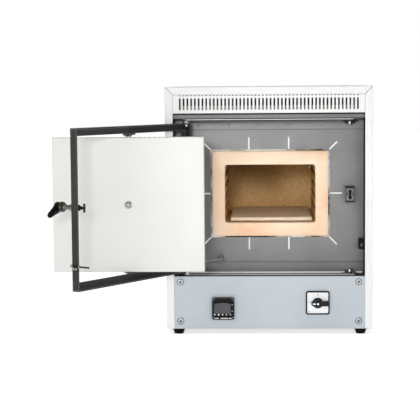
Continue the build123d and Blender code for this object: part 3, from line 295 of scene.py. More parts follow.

# ---- the kiln's finishes: two tones each, then roughness and texture ----------------------------

# the white cabinet is painted near black inside and greyer along its edges and seams, both as painted shade
WHITE = powder_coat(
    "cabinet_white", (0.76, 0.76, 0.75), (0.81, 0.81, 0.80), 0.4, inside=(0.03, 0.03, 0.03), edge=EDGE_SHADE
)
DOOR_WHITE = powder_coat("door_white", (0.685, 0.69, 0.665), (0.72, 0.725, 0.70), 0.36, edge=EDGE_SHADE)
BLUE_GREY = powder_coat("control_grey", (0.44, 0.485, 0.53), (0.49, 0.54, 0.58), 0.38, edge=EDGE_SHADE)


def slab(node, low, high, depth=None):
    """A CAD node's box cut to a span of heights from its foot and a depth from its front, in millimetres."""
    box_low, box_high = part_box(node)
    margin = Vector((1, 1, 0)) * MM
    far = box_high.y if depth is None else box_low.y + depth * MM
    low_corner = Vector((box_low.x, box_low.y, box_low.z + low * MM)) - margin
    return low_corner, Vector((box_high.x, far, box_low.z + high * MM)) + margin


# near-black painted shade, for shade in gaps, under parts and inside the latch bracket
SHADE_BLACK = (0.012, 0.012, 0.012)
CREASE_SHADE = (0.06, 0.06, 0.06)
UPSTAND_GREY = (0.34, 0.34, 0.33)
# a pale strip along the lit top edge of the hinge rails: painted highlight
PAINTED_HIGHLIGHT = (0.62, 0.61, 0.58)
CREASE_HALF = 0.7
BRACKET_WALL = 2.0
header_top = (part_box("vent_grille")[0].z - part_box("header_rail")[0].z) / MM
plate_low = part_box("front_plate")[0]


def plate_creases():
    """The heights of the two bends that cross the front plate, read from the corners of its face."""
    corners = [corner.co for corner in nodes["front_plate"].data.vertices]
    return sorted({round(corner.z, 5) for corner in corners if corner.y < plate_low.y + 0.1 * MM})[1:3]


def crease_line(height):
    """The line of painted shade along one bend of the front plate."""
    above_foot = (height - plate_low.z) / MM
    return (*slab("front_plate", above_foot - CREASE_HALF, above_foot + CREASE_HALF), CREASE_SHADE)


creases = plate_creases()
crease_lines = [crease_line(height) for height in creases]
# inside the latch bracket the front plate is painted near black: painted shade
bracket_low, bracket_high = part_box("latch_bracket")
inset = Vector((BRACKET_WALL, 0, BRACKET_WALL)) * MM
bracket_shade = (bracket_low + inset, bracket_high - inset + Vector((0, 6.0, 0)) * MM, SHADE_BLACK)
STEEL = sheet_steel(
    "plate_steel", (0.138, 0.138, 0.138), (0.200, 0.200, 0.197), (1, 1, 45),
    lines=[*crease_lines, bracket_shade],
)
# the header rail is painted near black along its foot and just under the grille, as painted shade; the upstand
# behind the grille is mid grey
HEADER = sheet_steel(
    "header_steel", (0.13, 0.13, 0.13), (0.18, 0.18, 0.18), (30, 1, 1), 0.45,
    lines=[
        (*slab("header_rail", -1.0, 2.0), SHADE_BLACK),
        (*slab("header_rail", header_top - 3.4, header_top + 3.0), SHADE_BLACK),
        (*slab("header_rail", header_top + 3.0, 60.0), UPSTAND_GREY),
    ],
)
# both hinge rails are painted near black below, as painted shade, and pale along the top, as painted highlight
TOP_RAIL = sheet_steel(
    "top_rail_steel", (0.10, 0.10, 0.10), (0.14, 0.14, 0.14), (30, 1, 1), 0.42, 0.4,
    lines=[
        (*slab("top_hinge_rail", -1.0, 2.6), SHADE_BLACK),
        (*slab("top_hinge_rail", 2.8, 5.0), PAINTED_HIGHLIGHT),
    ],
)
RAIL = sheet_steel(
    "rail_steel", (0.10, 0.10, 0.095), (0.16, 0.16, 0.15), (30, 1, 1), 0.42, 0.4,
    lines=[
        (*slab("bottom_hinge_rail", -1.0, 2.6), SHADE_BLACK),
        (*slab("bottom_hinge_rail", 2.6, 5.0, 2.0), PAINTED_HIGHLIGHT),
    ],
)
PALE_ZINC = sheet_steel("pale_zinc", (0.40, 0.40, 0.39), (0.56, 0.56, 0.54), (1, 1, 1), 0.4, 0.3, grain=60)
GALVANISED = sheet_steel(
    "galvanised", (0.13, 0.13, 0.125), (0.20, 0.198, 0.19), (1, 1, 1), 0.5, 0.4, grain=60
)
DARK_STEEL = powder_coat(
    "frame_dark", (0.020, 0.019, 0.018), (0.032, 0.030, 0.029), 0.5, 700, 0.2, 0.25, edge=WORN_EDGE
)
BRIGHT = bright_metal("zinc_bright", (0.34, 0.34, 0.33), (0.60, 0.60, 0.58))
SCREW_ZINC = bright_metal("screw_zinc", (0.34, 0.34, 0.34), (0.56, 0.56, 0.56), 0.3)
GUNMETAL = bright_metal("gunmetal", (0.012, 0.012, 0.012), (0.045, 0.045, 0.042), 0.35)
BRASS = bright_metal("brass", (0.12, 0.115, 0.09), (0.27, 0.26, 0.21), 0.34)
MUFFLE = fibre_ceramic(
    "muffle_cream", [(0.28, (0.84, 0.53, 0.33)), (0.45, (0.90, 0.67, 0.475)), (0.7, (0.95, 0.76, 0.58))],
    0.5, (0.70, 0.44, 0.28), scale=520, cover=0.45, onset=0.52,
)
PACKING = fibre_ceramic(
    "packing_fibre", [(0.43, (0.03, 0.022, 0.018)), (0.48, (0.40, 0.32, 0.25)), (0.56, (0.90, 0.88, 0.85))],
    0.5, (0.3, 0.24, 0.18),
)
chamber = frame["record"]["physics"]["openings"][0]["box_m"]
back_middle = (Vector(chamber[0]) + Vector(chamber[1])) / 2
back_middle.y = chamber[1][1]
# soft dark patches on the chamber's back wall, darkest at the upper left under the mouth's rim: painted shade
SHADE_PATCHES = [
    (back_middle + Vector((-50, 0, 55)) * MM, 95 * MM, (0.20, 0.11, 0.03)),
    (back_middle + Vector((2, 0, 18)) * MM, 75 * MM, (0.26, 0.155, 0.055)),
]
CHAMBER = fibre_ceramic(
    "chamber_fired", [(0.3, (0.74, 0.47, 0.19)), (0.55, (0.86, 0.58, 0.27)), (0.8, (0.95, 0.69, 0.37))],
    0.8, (0.26, 0.14, 0.04), scale=620, cover=0.6, onset=0.47, shade_spots=SHADE_PATCHES,
)
HEARTH = fibre_ceramic(
    "hearth_plate", [(0.3, (0.80, 0.63, 0.46)), (0.6, (0.88, 0.75, 0.59)), (0.8, (0.94, 0.84, 0.70))],
    0.25, (0.34, 0.25, 0.17), 0.6,
)
# the fibre seen in the front plate's slots glows faintly: painted light, to keep it bright in its shaded slots
SEAM_FIBRE = fibre_ceramic(
    "seam_fibre", [(0.3, (0.90, 0.89, 0.87)), (0.7, (0.96, 0.95, 0.93))], 0.4, (0.7, 0.68, 0.65), glow=0.22
)
FIBRE = fibre_ceramic(
    "fibre_white", [(0.3, (0.80, 0.79, 0.76)), (0.7, (0.88, 0.87, 0.85))], 0.5, (0.55, 0.52, 0.48)
)
# a bluish metal for the interlock switch's screws; the tint is a painted reflection
GLINT_BLUE_METAL = bright_metal("glint_blue_metal", (0.10, 0.16, 0.20), (0.26, 0.34, 0.38), 0.4)
OLIVE_METAL = bright_metal("olive_metal", (0.035, 0.034, 0.026), (0.16, 0.155, 0.125), 0.4)
WIRE = bright_metal("heating_wire", (0.10, 0.08, 0.06), (0.24, 0.20, 0.16), 0.5)
SHEATH = bright_metal("sheath", (0.56, 0.54, 0.50), (0.72, 0.70, 0.66), 0.35)
BLACK = plastic("black_plastic", (0.003, 0.003, 0.003), (0.007, 0.007, 0.007), 0.45, specular=0.12)
BLACK_GLOSS = plastic("black_gloss", (0.001, 0.001, 0.001), (0.004, 0.004, 0.004), 0.22, 300, 0.03, 0.14)
KNOB_BLACK = plastic("knob_black", (0.004, 0.004, 0.004), (0.010, 0.010, 0.010), 0.38, specular=0.2)
RIM_GREY = plastic("rim_grey", (0.006, 0.006, 0.007), (0.014, 0.014, 0.015), 0.34, specular=0.25)
RIM_LIGHT = plastic("rim_light", (0.34, 0.34, 0.35), (0.44, 0.44, 0.45), 0.4)
SCREEN = plastic("screen", (0.075, 0.075, 0.084), (0.100, 0.098, 0.108), 0.22, 300, 0.02, 0.15)
LENS = plastic("status_lens", (0.66, 0.67, 0.68), (0.80, 0.81, 0.82), 0.25, 300, 0.02)
KEYS = plastic("keys", (0.012, 0.012, 0.013), (0.022, 0.022, 0.023), 0.5, specular=0.2)
SWITCH_WHITE = plastic("switch_white", (0.88, 0.89, 0.90), (0.93, 0.94, 0.95), 0.38)
MARK_GREY = plastic("mark_grey", (0.10, 0.10, 0.105), (0.16, 0.16, 0.165), 0.5)
CREAM = plastic("terminal_cream", (0.66, 0.64, 0.56), (0.74, 0.72, 0.64), 0.45)
ALLOY = bright_metal("heatsink", (0.45, 0.46, 0.47), (0.62, 0.63, 0.64), 0.4, (1, 40, 1))
RUBBER = plastic("rubber", (0.002, 0.002, 0.002), (0.006, 0.006, 0.006), 0.7, 700, 0.4, 0.08)
MARKS = plastic("marks", (0.80, 0.80, 0.80), (0.90, 0.90, 0.90), 0.5)

LOOKS = {
    WHITE: "left_side_panel right_side_panel top_cover rear_panel vent_grille",
    DOOR_WHITE: "door_skin",
    BLUE_GREY: "control_panel",
    STEEL: "front_plate",
    HEADER: "header_rail interlock_lever",
    TOP_RAIL: "top_hinge_rail",
    RAIL: "bottom_hinge_rail",
    DARK_STEEL: (
        "frame_top_bar frame_bottom_bar frame_free_bar frame_hinge_bar "
        "pivot_brackets latch_bracket chamber_shelf"
    ),
    GALVANISED: "base_plate link_anchor link_lug",
    SEAM_FIBRE: "fibre_board",
    BRIGHT: "hinge_pins spare_sockets panel_screws pivot_bolts latch_shaft interlock_rod centre_cap",
    PALE_ZINC: "link_bar",
    BRASS: "latch_bush",
    MUFFLE: "muffle_collar",
    CHAMBER: "muffle_slabs muffle_back muffle_left_wall muffle_right_wall",
    HEARTH: "hearth_plate",
    FIBRE: "muffle_insulation rear_insulation door_plug",
    WIRE: "left_heating_coil right_heating_coil",
    SHEATH: "thermocouple",
    BLACK: "controller_body switch_body switch_knob interlock_switch latch_handle mains_gland",
    SCREEN: "controller_screen",
    KEYS: "controller_key_1 controller_key_2 controller_key_3 controller_key_4 controller_key_5",
    SWITCH_WHITE: "switch_plate",
    CREAM: "terminal_block",
    ALLOY: "solid_state_relay",
    RUBBER: "feet",
}
# bars, panels and blocks whose sharp edges are eased
EASED = (
    "left_side_panel right_side_panel top_cover base_plate door_skin "
    "frame_top_bar frame_bottom_bar frame_free_bar frame_hinge_bar "
    "hearth_plate latch_bracket switch_plate controller_body link_bar link_anchor"
).split()
for material, names in LOOKS.items():
    for name in names.split():
        data = nodes[name].data
        data.materials.clear()
        data.materials.append(material)
for name in EASED:
    weld = nodes[name].modifiers.new("weld", "WELD")
    weld.merge_threshold = 0.01 * MM
    edge = nodes[name].modifiers.new("edge", "BEVEL")
    edge.width = 0.3 * MM
    edge.segments = 2
    edge.limit_method = "ANGLE"
    edge.angle_limit = radians(40)


# ---- shapes, in millimetres until they are put in place -----------------------------------------

def skin(loops, closed=False):
    """A body through loops of points of one count, capped at its ends or joined round."""
    shape = bmesh.new()
    rows = [[shape.verts.new(point) for point in loop] for loop in loops]
    pairs = list(zip(rows, rows[1:]))
    if closed:
        pairs.append((rows[-1], rows[0]))
    else:
        shape.faces.new(reversed(rows[0]))
        shape.faces.new(rows[-1])
    for low, high in pairs:
        for here in range(len(low)):
            after = (here + 1) % len(low)
            shape.faces.new((low[here], low[after], high[after], high[here]))
    bmesh.ops.recalc_face_normals(shape, faces=shape.faces)
    return shape


def ring(radius, count=40, start=0.0):
    """Points round a circle."""
    angles = [start + 2 * pi * step / count for step in range(count)]
    return [(radius * cos(angle), radius * sin(angle)) for angle in angles]


def rounded(width, height, radius, steps=6):
    """A rectangle's outline with round corners."""
    points = []
    for corner, (side, up) in enumerate(((1, 1), (-1, 1), (-1, -1), (1, -1))):
        for step in range(steps + 1):
            angle = pi / 2 * (corner + step / steps)
            x = side * (width / 2 - radius) + radius * cos(angle)
            points.append((x, up * (height / 2 - radius) + radius * sin(angle)))
    return points


def loop(outline, height, scale=1.0):
    """An outline at a height, drawn in or out about its middle."""
    return [(x * scale, y * scale, height) for x, y in outline]


def stack(outline, levels):
    """A body with the same outline at each (scale, height) level."""
    return skin([loop(outline, height, scale) for scale, height in levels])


def turned(profile, count=40):
    """A body turned round Z from (radius, height) pairs."""
    return skin([loop(ring(radius, count), height) for radius, height in profile])


def band(outer, inner, low, high, soft=0.3):
    """A flat frame between two outlines of one count, with its front edges eased."""
    ease = 1 - soft / max(x for x, _ in outer)
    levels = [loop(outer, low), loop(outer, high - soft), loop(outer, high, ease)]
    return skin([*levels, loop(inner, high), loop(inner, low)], closed=True)


def hexagon(across, levels):
    """A nut or bolt head from its width across flats."""
    return stack(ring(across / sqrt(3), 6), levels)


def moved(shape, x=0.0, y=0.0, z=0.0, turn=0.0, axis="Z"):
    """A body turned about an axis, then shifted."""
    shape.transform(Matrix.Translation((x, y, z)) @ Matrix.Rotation(radians(turn), 4, axis))
    return shape


def joined(parts):
    """Several bodies as one."""
    whole = bmesh.new()
    for part in parts:
        scrap = bpy.data.meshes.new("scrap")
        part.to_mesh(scrap)
        part.free()
        whole.from_mesh(scrap)
        bpy.data.meshes.remove(scrap)
    return whole


def scratch(shape):
    """A passing object for a shape, which its modifiers change."""
    mesh = bpy.data.meshes.new("scratch")
    shape.to_mesh(mesh)
    shape.free()
    passing = bpy.data.objects.new("scratch", mesh)
    bpy.context.scene.collection.objects.link(passing)
    return passing


def evaluated(passing, *others):
    """The shape that a passing object's modifiers give; the passing objects are removed."""
    graph = bpy.context.evaluated_depsgraph_get()
    result = bpy.data.meshes.new_from_object(passing.evaluated_get(graph))
    shape = bmesh.new()
    shape.from_mesh(result)
    bpy.data.meshes.remove(result)
    for done in (passing, *others):
        mesh = done.data
        bpy.data.objects.remove(done)
        bpy.data.meshes.remove(mesh)
    return shape


def carved(solid, cutter):
    """A body with another cut out of it."""
    passing, tool = scratch(solid), scratch(cutter)
    cut = passing.modifiers.new("cut", "BOOLEAN")
    cut.operation = "DIFFERENCE"
    cut.object = tool
    return evaluated(passing, tool)


def moulded(parts, voxel, rounds=6):
    """Bodies run together with soft joins, as in a moulding."""
    passing = scratch(joined(parts))
    remesh = passing.modifiers.new("remesh", "REMESH")
    remesh.mode = "VOXEL"
    remesh.voxel_size = voxel
    smooth = passing.modifiers.new("smooth", "SMOOTH")
    smooth.iterations = rounds
    return evaluated(passing)


def at(point, outward=(0, 0, 1)):
    """Millimetres at a point: Z along outward, and Y up where outward is level."""
    z = Vector(outward).normalized()
    x = Vector((0, 0, 1)).cross(z) if abs(z.z) < 0.9 else Vector((1, 0, 0))
    y = z.cross(x)
    turn = Matrix((x, y, z)).transposed().to_4x4()
    return Matrix.Translation(Vector(point)) @ turn @ Matrix.Scale(MM, 4)


def placed(shape, place):
    """A body carried to a place, in metres from here on."""
    shape.transform(place)
    return shape


def put(name, body, material, parts, place=Matrix.Identity(4), stands_for=(), sharp=35):
    """Make one piece of the object from parts, put it in place and let it ride on a body."""
    shape = placed(joined(parts), place)
    mesh = bpy.data.meshes.new(name)
    shape.to_mesh(mesh)
    shape.free()
    mesh.materials.append(material)
    mesh.shade_smooth()
    mesh.set_sharp_from_angle(angle=radians(sharp))
    piece = bpy.data.objects.new(name, mesh)
    bpy.context.scene.collection.objects.link(piece)
    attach(piece, body)
    if stands_for:
        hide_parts(*stands_for)


def solids(node):
    """The lowest and highest corner of each separate solid in a CAD node."""
    data = nodes[node].data
    owner = {}

    def find(key):
        while owner[key] != key:
            key = owner[key]
        return key

    keys = [tuple(round(c, 6) for c in v.co) for v in data.vertices]
    for key in keys:
        owner.setdefault(key, key)
    for polygon in data.polygons:
        first = find(keys[polygon.vertices[0]])
        for corner in polygon.vertices:
            owner[find(keys[corner])] = first
    groups = {}
    for key in keys:
        groups.setdefault(find(key), []).append(Vector(key))
    boxes = []
    for points in groups.values():
        low = Vector([min(p[axis] for p in points) for axis in range(3)])
        high = Vector([max(p[axis] for p in points) for axis in range(3)])
        boxes.append((low, high))
    return sorted(boxes, key=lambda box: tuple(box[0]))


def middle(box):
    """The centre of a box given by its lowest and highest corner."""
    return (box[0] + box[1]) / 2


FORWARD = Vector((0, -1, 0))
UPWARD = Vector((0, 0, 1))


def face(node, y=None, outward=FORWARD):
    """Millimetres at the middle of a CAD node's front face, or of its outline at another depth."""
    low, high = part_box(node)
    return at(((low.x + high.x) / 2, low.y if y is None else y, (low.z + high.z) / 2), outward)


# ---- fasteners and feet -------------------------------------------------------------------------

SCREW_HEAD = 2.8
CROSS = (20, 110)


def cross_screw():
    """A pan head with a cross recess on its washer, standing on Z = 0."""
    head = turned([(4.6, 1.0), (4.6, 1.5), (4.3, 2.1), (3.6, 2.5), (2.4, 2.72), (0.8, SCREW_HEAD)])
    bars = [moved(stack(rounded(6.4, 1.7, 0.4), [(0.9, 1.3), (1.1, 3.2)]), turn=turn) for turn in CROSS]
    washer = turned([(3.0, 0), (6.0, 0), (6.2, 0.2), (6.2, 0.8), (5.9, 1.0), (4.4, 1.02)])
    return [carved(head, joined(bars)), washer]


def each_screw():
    """The seat of every panel screw, with the way it faces."""
    for box in solids("panel_screws"):
        centre = middle(box)
        outward = FORWARD if centre.y < 0 else -FORWARD
        tip = box[0].y if centre.y < 0 else box[1].y
        yield Vector((centre.x, tip, centre.z)) - outward * SCREW_HEAD * MM, outward


def screws():
    """Every panel screw's head, with a black ring round it and black in its cross recess, as painted shade."""
    heads, shade_marks = [], []
    for seat, outward in each_screw():
        place = at(seat, outward)
        heads += [placed(part, place) for part in cross_screw()]
        # a black ring round the washer and black bars in the cross recess: painted shade
        seal = turned([(5.0, 0.02), (7.1, 0.02), (7.2, 0.4), (6.9, 0.85), (6.0, 0.9)])
        bars = [moved(stack(rounded(6.0, 1.5, 0.4), [(1, 1.2), (1, 2.1)]), turn=turn) for turn in CROSS]
        shade_marks += [placed(part, place) for part in (seal, *bars)]
    put("screw_heads", "cabinet", SCREW_ZINC, heads, stands_for=["panel_screws"])
    put("screw_shade_marks", "cabinet", BLACK, shade_marks)


def rubber_feet():
    """Four stepped round feet, with the stud that goes up into the base."""
    profile = [
        (8.6, 0), (10.0, 0.5), (10.4, 2.6), (9.9, 3.2), (9.9, 3.8), (11.4, 4.4), (11.7, 6.4), (11.1, 7.0),
        (11.1, 7.5), (12.7, 8.1), (13.2, 9.4), (13.2, 11.4), (12.7, 12.0),
        (3.0, 12.0), (3.0, 19.2), (2.4, 20.0),
    ]
    feet = [placed(turned(profile), at((middle(box).x, middle(box).y, box[0].z))) for box in solids("feet")]
    put("ribbed_feet", "cabinet", RUBBER, feet, stands_for=["feet"])


screws()
rubber_feet()

# ---- heating coils ------------------------------------------------------------------------------

COIL_ROWS = 4
COIL_LAY = 4.2
COIL_END_GAP = 18.0
WIRE_RADIUS = 0.75
TURN_POINTS = 9
ROUTE_STEP = 0.35


def coil_route(node):
    """Closely spaced points, in millimetres, along the groove of one coil; and the coil's radius."""
    low, high = (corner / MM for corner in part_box(node))
    radius = (high.x - low.x) / 2
    pitch = (high.z - low.z - 2 * radius) / (COIL_ROWS - 1)
    front = low.y + radius + pitch / 2
    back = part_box("muffle_left_wall")[1].y / MM - COIL_END_GAP
    rows = [low.z + radius + row * pitch for row in range(COIL_ROWS)]
    x = (low.x + high.x) / 2
    points = []

    def run(start, end, height):
        count = int(abs(end - start) / ROUTE_STEP)
        points.extend((start + (end - start) * step / count, height) for step in range(count))

    def bend(centre_y, centre_z, way):
        count = int(pi * pitch / 2 / ROUTE_STEP)
        for step in range(count):
            angle = pi * step / count
            points.append((centre_y + way * pitch / 2 * sin(angle), centre_z - pitch / 2 * cos(angle)))

    run(high.y, front, rows[0])
    bend(front, (rows[0] + rows[1]) / 2, -1)
    run(front, back, rows[1])
    bend(back, (rows[1] + rows[2]) / 2, 1)
    run(back, front, rows[2])
    bend(front, (rows[2] + rows[3]) / 2, -1)
    run(front, high.y, rows[3])
    return [Vector((x, y, z)) for y, z in points], radius


def heating_coil(node, name):
    """A wire wound in a helix round its route."""
    route, radius = coil_route(node)
    line = bpy.data.curves.new(name, "CURVE")
    line.dimensions = "3D"
    line.bevel_depth = WIRE_RADIUS * MM
    line.bevel_resolution = 1
    wound = radius - WIRE_RADIUS
    turns = len(route) * ROUTE_STEP / COIL_LAY
    count = int(turns * TURN_POINTS)
    spline = line.splines.new("POLY")
    spline.points.add(count - 1)
    across = Vector((1, 0, 0))
    for index in range(count):
        along = index / count * (len(route) - 2)
        here = int(along)
        centre = route[here].lerp(route[here + 1], along - here)
        ahead = (route[here + 1] - route[here]).normalized()
        up = ahead.cross(across)
        angle = 2 * pi * index / TURN_POINTS
        place = (centre + (across * cos(angle) + up * sin(angle)) * wound) * MM
        spline.points[index].co = (*place, 1)
    line.materials.append(WIRE)
    coil = bpy.data.objects.new(name, line)
    bpy.context.scene.collection.objects.link(coil)
    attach(coil, "cabinet")
    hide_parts(node)


heating_coil("left_heating_coil", "left_wound_coil")
heating_coil("right_heating_coil", "right_wound_coil")

# ---- latch --------------------------------------------------------------------------------------

LATCH = at(joints["latch_turn"]["pos_m"], joints["latch_turn"]["axis"])
LEVER_DROP = 29.0


def lever_arm():
    """The tapering grip, out along X from the hub's middle."""
    sections = [
        (-6.0, 7.5, 4.6), (0.0, 10.4, 5.8), (7.0, 10.2, 5.7), (14.0, 8.6, 5.4), (21.0, 7.2, 5.2),
        (27.0, 6.6, 5.1), (31.5, 5.9, 4.8), (34.5, 4.2, 3.4), (35.9, 1.8, 1.4),
    ]
    loops = []
    for along, half_width, half_depth in sections:
        loops.append([(along, half_width * x, half_depth * y) for x, y in ring(1.0, 24)])
    return skin(loops)


def latch_handle():
    """The moulded grip, the metal ferrule that it sits in and the cap over the shaft's end."""
    profile = [
        (8.4, 37.6), (9.8, 38.6), (10.0, 42.0), (9.2, 45.5), (9.3, 49.0), (10.0, 52.0), (9.8, 55.5),
        (8.0, 57.4), (5.0, 57.9),
    ]
    hub = turned(profile)
    arm = moved(moved(lever_arm(), turn=-LEVER_DROP), z=50.5)
    grip = moulded([hub, arm], 0.55, 8)
    put("latch_grip", "latch", BLACK_GLOSS, [grip], LATCH, ["latch_handle"], 60)
    ferrule = turned([(6.6, 36.6), (8.7, 37.0), (9.2, 38.2), (10.3, 40.2), (10.3, 43.0), (9.4, 43.6)], 36)
    put("latch_ferrule", "latch", OLIVE_METAL, [ferrule], LATCH)
    cap = turned([(4.4, 57.0), (4.4, 58.0), (3.8, 58.5), (1.0, 58.7)])
    put("latch_grip_cap", "latch", BLACK, [cap], LATCH)


def crossbar():
    """The round-ended bar across the shaft's tip, lying along Y."""
    half = 9.0
    near_end = [(0.7, -half), (1.7, -half + 0.5), (2.25, -half + 1.6)]
    profile = [*near_end, *((radius, -height) for radius, height in reversed(near_end))]
    return moved(turned(profile, 24), z=-15.5, turn=-90, axis="X")


def latch_shaft():
    """The grooved spindle with its crossbar."""
    profile = [
        (2.0, -17.2), (3.0, -16.6), (3.0, -13.0), (2.5, -12.4), (2.5, -8.4), (3.4, -8.0), (4.0, -7.2),
        (4.0, 36.0), (3.2, 36.3), (3.2, 37.2), (4.0, 37.5), (4.0, 51.5), (3.4, 52.0),
    ]
    core = turned(profile, 28)
    put("latch_spindle", "latch", GUNMETAL, [core, crossbar()], LATCH, ["latch_shaft"])


def latch_bush():
    """The sleeve that the shaft turns in, with the nuts that clamp it to the frame."""
    profile = [
        (5.0, 15.6), (6.2, 16.0), (6.2, 18.4), (5.5, 19.0), (5.5, 22.0), (4.5, 22.6), (4.5, 32.6),
        (5.4, 33.4), (5.9, 34.6), (5.9, 35.6), (5.2, 36.0),
    ]
    sleeve = turned(profile, 36)
    flange = hexagon(14.9, [(0.9, 9.5), (1.0, 10.1), (1.0, 14.9), (0.9, 15.5)])
    put("latch_sleeve", "door_frame", BRASS, [sleeve, flange], LATCH, ["latch_bush"])
    nut = hexagon(11.8, [(0.88, -1.8), (1.0, -1.2), (1.0, 5.2), (0.88, 5.8)])
    washer = turned([(6.6, 5.8), (7.0, 6.0), (7.0, 6.4), (6.6, 6.45)])
    put("latch_back_nut", "door_frame", GUNMETAL, [nut, washer], LATCH)


latch_handle()
latch_shaft()
latch_bush()


def bracket_face():
    """The bright wear plate with its keyhole, between the dark edges of the latch bracket."""
    centre = face("latch_bracket")
    plate = stack(rounded(15.6, 26.0, 0.8), [(1.0, 0.05), (1.0, 0.6), (0.985, 0.8)])
    ends = [moved(turned([(3.7, -1.0), (3.7, 2.0)]), y=y) for y in (-6.6, 6.6)]
    hole = moulded([*ends, stack(rounded(5.4, 14.0, 1.0), [(1, -1.0), (1, 2.0)])], 0.3, 2)
    put("latch_wear_plate", "cabinet", GALVANISED, [carved(plate, hole)], centre)
    pins = []
    for x, y in ((-5.9, -1.4), (5.9, -1.4), (-5.9, 2.2), (5.9, 2.2)):
        pins.append(moved(turned([(1.5, 0.5), (1.5, 0.95), (1.0, 1.15)], 20), x, y))
    put("latch_plate_pins", "cabinet", GUNMETAL, pins, centre)


bracket_face()

# ---- controller ---------------------------------------------------------------------------------

def controller():
    """The bezel, visor, arched window, light strip and clips of the 48 mm instrument."""
    low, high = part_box("controller_body")
    side = (high.x - low.x) / MM
    centre = face("controller_body")
    rim = band(rounded(side + 0.2, side + 0.2, 3.2), rounded(side - 7.0, side - 7.0, 2.0), -5.4, 0.9, 0.9)
    put("controller_rim", "cabinet", RIM_GREY, [rim], centre)
    corner = side / 2 - 2.9
    corners = [(x * corner, y * corner) for x in (-1, 1) for y in (-1, 1)]
    clips = [moved(turned([(1.9, 0.2), (1.9, 1.2), (1.3, 1.5)], 24), x, y) for x, y in corners]
    put("controller_corner_clips", "cabinet", BLACK_GLOSS, clips, centre)
    visor = stack(rounded(side - 8.6, 7.8, 2.0), [(1.0, -0.6), (1.0, 1.4), (0.985, 1.8)])
    put("controller_visor", "cabinet", BLACK_GLOSS, [moved(visor, 0, 16.8)], centre)
    rings = [moved(band(ring(3.0, 32), ring(2.3, 32), 0.5, 1.2, 0.2), x, y) for x, y in corners]
    put("controller_corner_rings", "cabinet", RIM_LIGHT, rings, centre)
    screen_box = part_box("controller_screen")
    screen_middle = middle(screen_box)
    width = (screen_box[1].x - screen_box[0].x) / MM
    height = (screen_box[1].z - screen_box[0].z) / MM
    steps = 20
    rise = 2.7
    foot = height / 2 - rise
    arch = [(-width / 2 + width * n / steps, foot + rise * sin(pi * n / steps)) for n in range(steps + 1)]
    outline = [(width / 2, -height / 2), *reversed(arch), (-width / 2, -height / 2)]
    window = stack(outline, [(1.0, 0.0), (1.0, 1.2), (0.985, 1.5)])
    place = at((screen_middle.x, screen_box[0].y, screen_middle.z - 0.9 * MM), FORWARD)
    put("controller_window", "cabinet", SCREEN, [window], place, ["controller_screen"])
    lenses = []
    for x, length in ((-13.6, 7.6), (2.0, 15.6), (14.8, 6.4)):
        lens = stack(rounded(length, 1.9, 0.8), [(1.0, 0.2), (1.0, 1.2), (0.9, 1.6)])
        lenses.append(moved(lens, x, -side / 2 + 3.3))
    put("controller_light_strip", "cabinet", LENS, lenses, centre)
    side_clips = []
    for y in (8.4, -5.4):
        side_clips.append(moved(stack(rounded(3.4, 1.4, 0.4), [(1.0, 0.4), (0.9, 1.3)]), side / 2 - 4.4, y))
    put("controller_side_clips", "cabinet", RIM_LIGHT, side_clips, centre)


# how many corners each key's pip has, and the way that its first one points
PIPS = ((4, pi / 4), (24, 0.0), (4, pi / 4), (3, pi / 2), (3, -pi / 2))


def key_marks():
    """A pale printed pip on each key: a square, a dot, a square, and a triangle up and one down."""
    for number, (corners, start) in enumerate(PIPS, 1):
        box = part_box(f"controller_key_{number}")
        pip = stack(ring(1.75, corners, start), [(1.0, -0.05), (1.0, 0.12), (0.9, 0.18)])
        spot = Vector((middle(box).x, box[0].y, middle(box).z + 0.4 * MM))
        put(f"key_mark_{number}", f"key_{number}", MARKS, [pip], at(spot, FORWARD))


controller()
key_marks()

# ---- main switch --------------------------------------------------------------------------------

def switch_frame():
    """The dark rim round the switch's plate, and the printed marks of its scale."""
    low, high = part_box("switch_plate")
    side = (high.x - low.x) / MM
    centre = face("switch_plate")
    rim = band(rounded(side + 0.4, side + 0.4, 4.0), rounded(side - 5.2, side - 5.2, 2.6), -3.4, 0.9, 0.5)
    put("switch_rim", "cabinet", BLACK, [rim], centre)
    marks = [
        moved(stack(rounded(1.0, 4.2, 0.3), [(1, -0.05), (1, 0.1)]), 0.2, 17.6),
        moved(stack(rounded(4.6, 1.0, 0.3), [(1, -0.05), (1, 0.1)]), -18.6, 1.2),
        moved(stack(rounded(4.2, 0.9, 0.3), [(1, -0.05), (1, 0.1)]), -18.4, -18.2),
    ]
    put("switch_scale", "cabinet", MARK_GREY, marks, centre)


def switch_knob():
    """The lever knob with its pale marks, on its spindle."""
    pivot = joints["switch_turn"]["pos_m"]
    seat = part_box("switch_plate")[0].y - 0.5 * MM
    place = at((pivot[0], seat, pivot[2]), FORWARD)
    hub = turned([(11.2, 0), (11.4, 0.6), (11.4, 3.8), (10.8, 5.2), (9.4, 6.2), (6.0, 6.8)], 48)
    levels = [(1.0, 1.0), (1.0, 12.0), (0.985, 14.6), (0.95, 16.2), (0.88, 17.0)]
    lever = stack(rounded(38.0, 10.2, 4.2, 8), levels)
    waist = turned([(8.6, 4.0), (8.2, 12.0), (7.4, 14.4), (5.4, 15.6)], 40)
    knob = moulded([hub, moved(lever, 5.0), waist], 0.45, 5)
    put("selector_lever", "selector", KNOB_BLACK, [knob], place, ["switch_knob"], 60)
    bar = moved(stack(rounded(6.6, 2.7, 1.0), [(1, 16.3), (1, 17.1), (0.92, 17.3)]), -7.8)
    dot = turned([(2.3, 16.3), (2.3, 17.1), (2.1, 17.35)], 32)
    put("selector_marks", "selector", MARKS, [bar, dot], place)
    shaft = turned([(3.0, -20.0), (3.0, 1.0)], 24)
    put("selector_spindle", "selector", BRIGHT, [shaft], place)


switch_frame()
switch_knob()

# ---- door fittings ------------------------------------------------------------------------------


STUD_TURN = 24
STUD_SLOTS = (-1.7, 1.9)


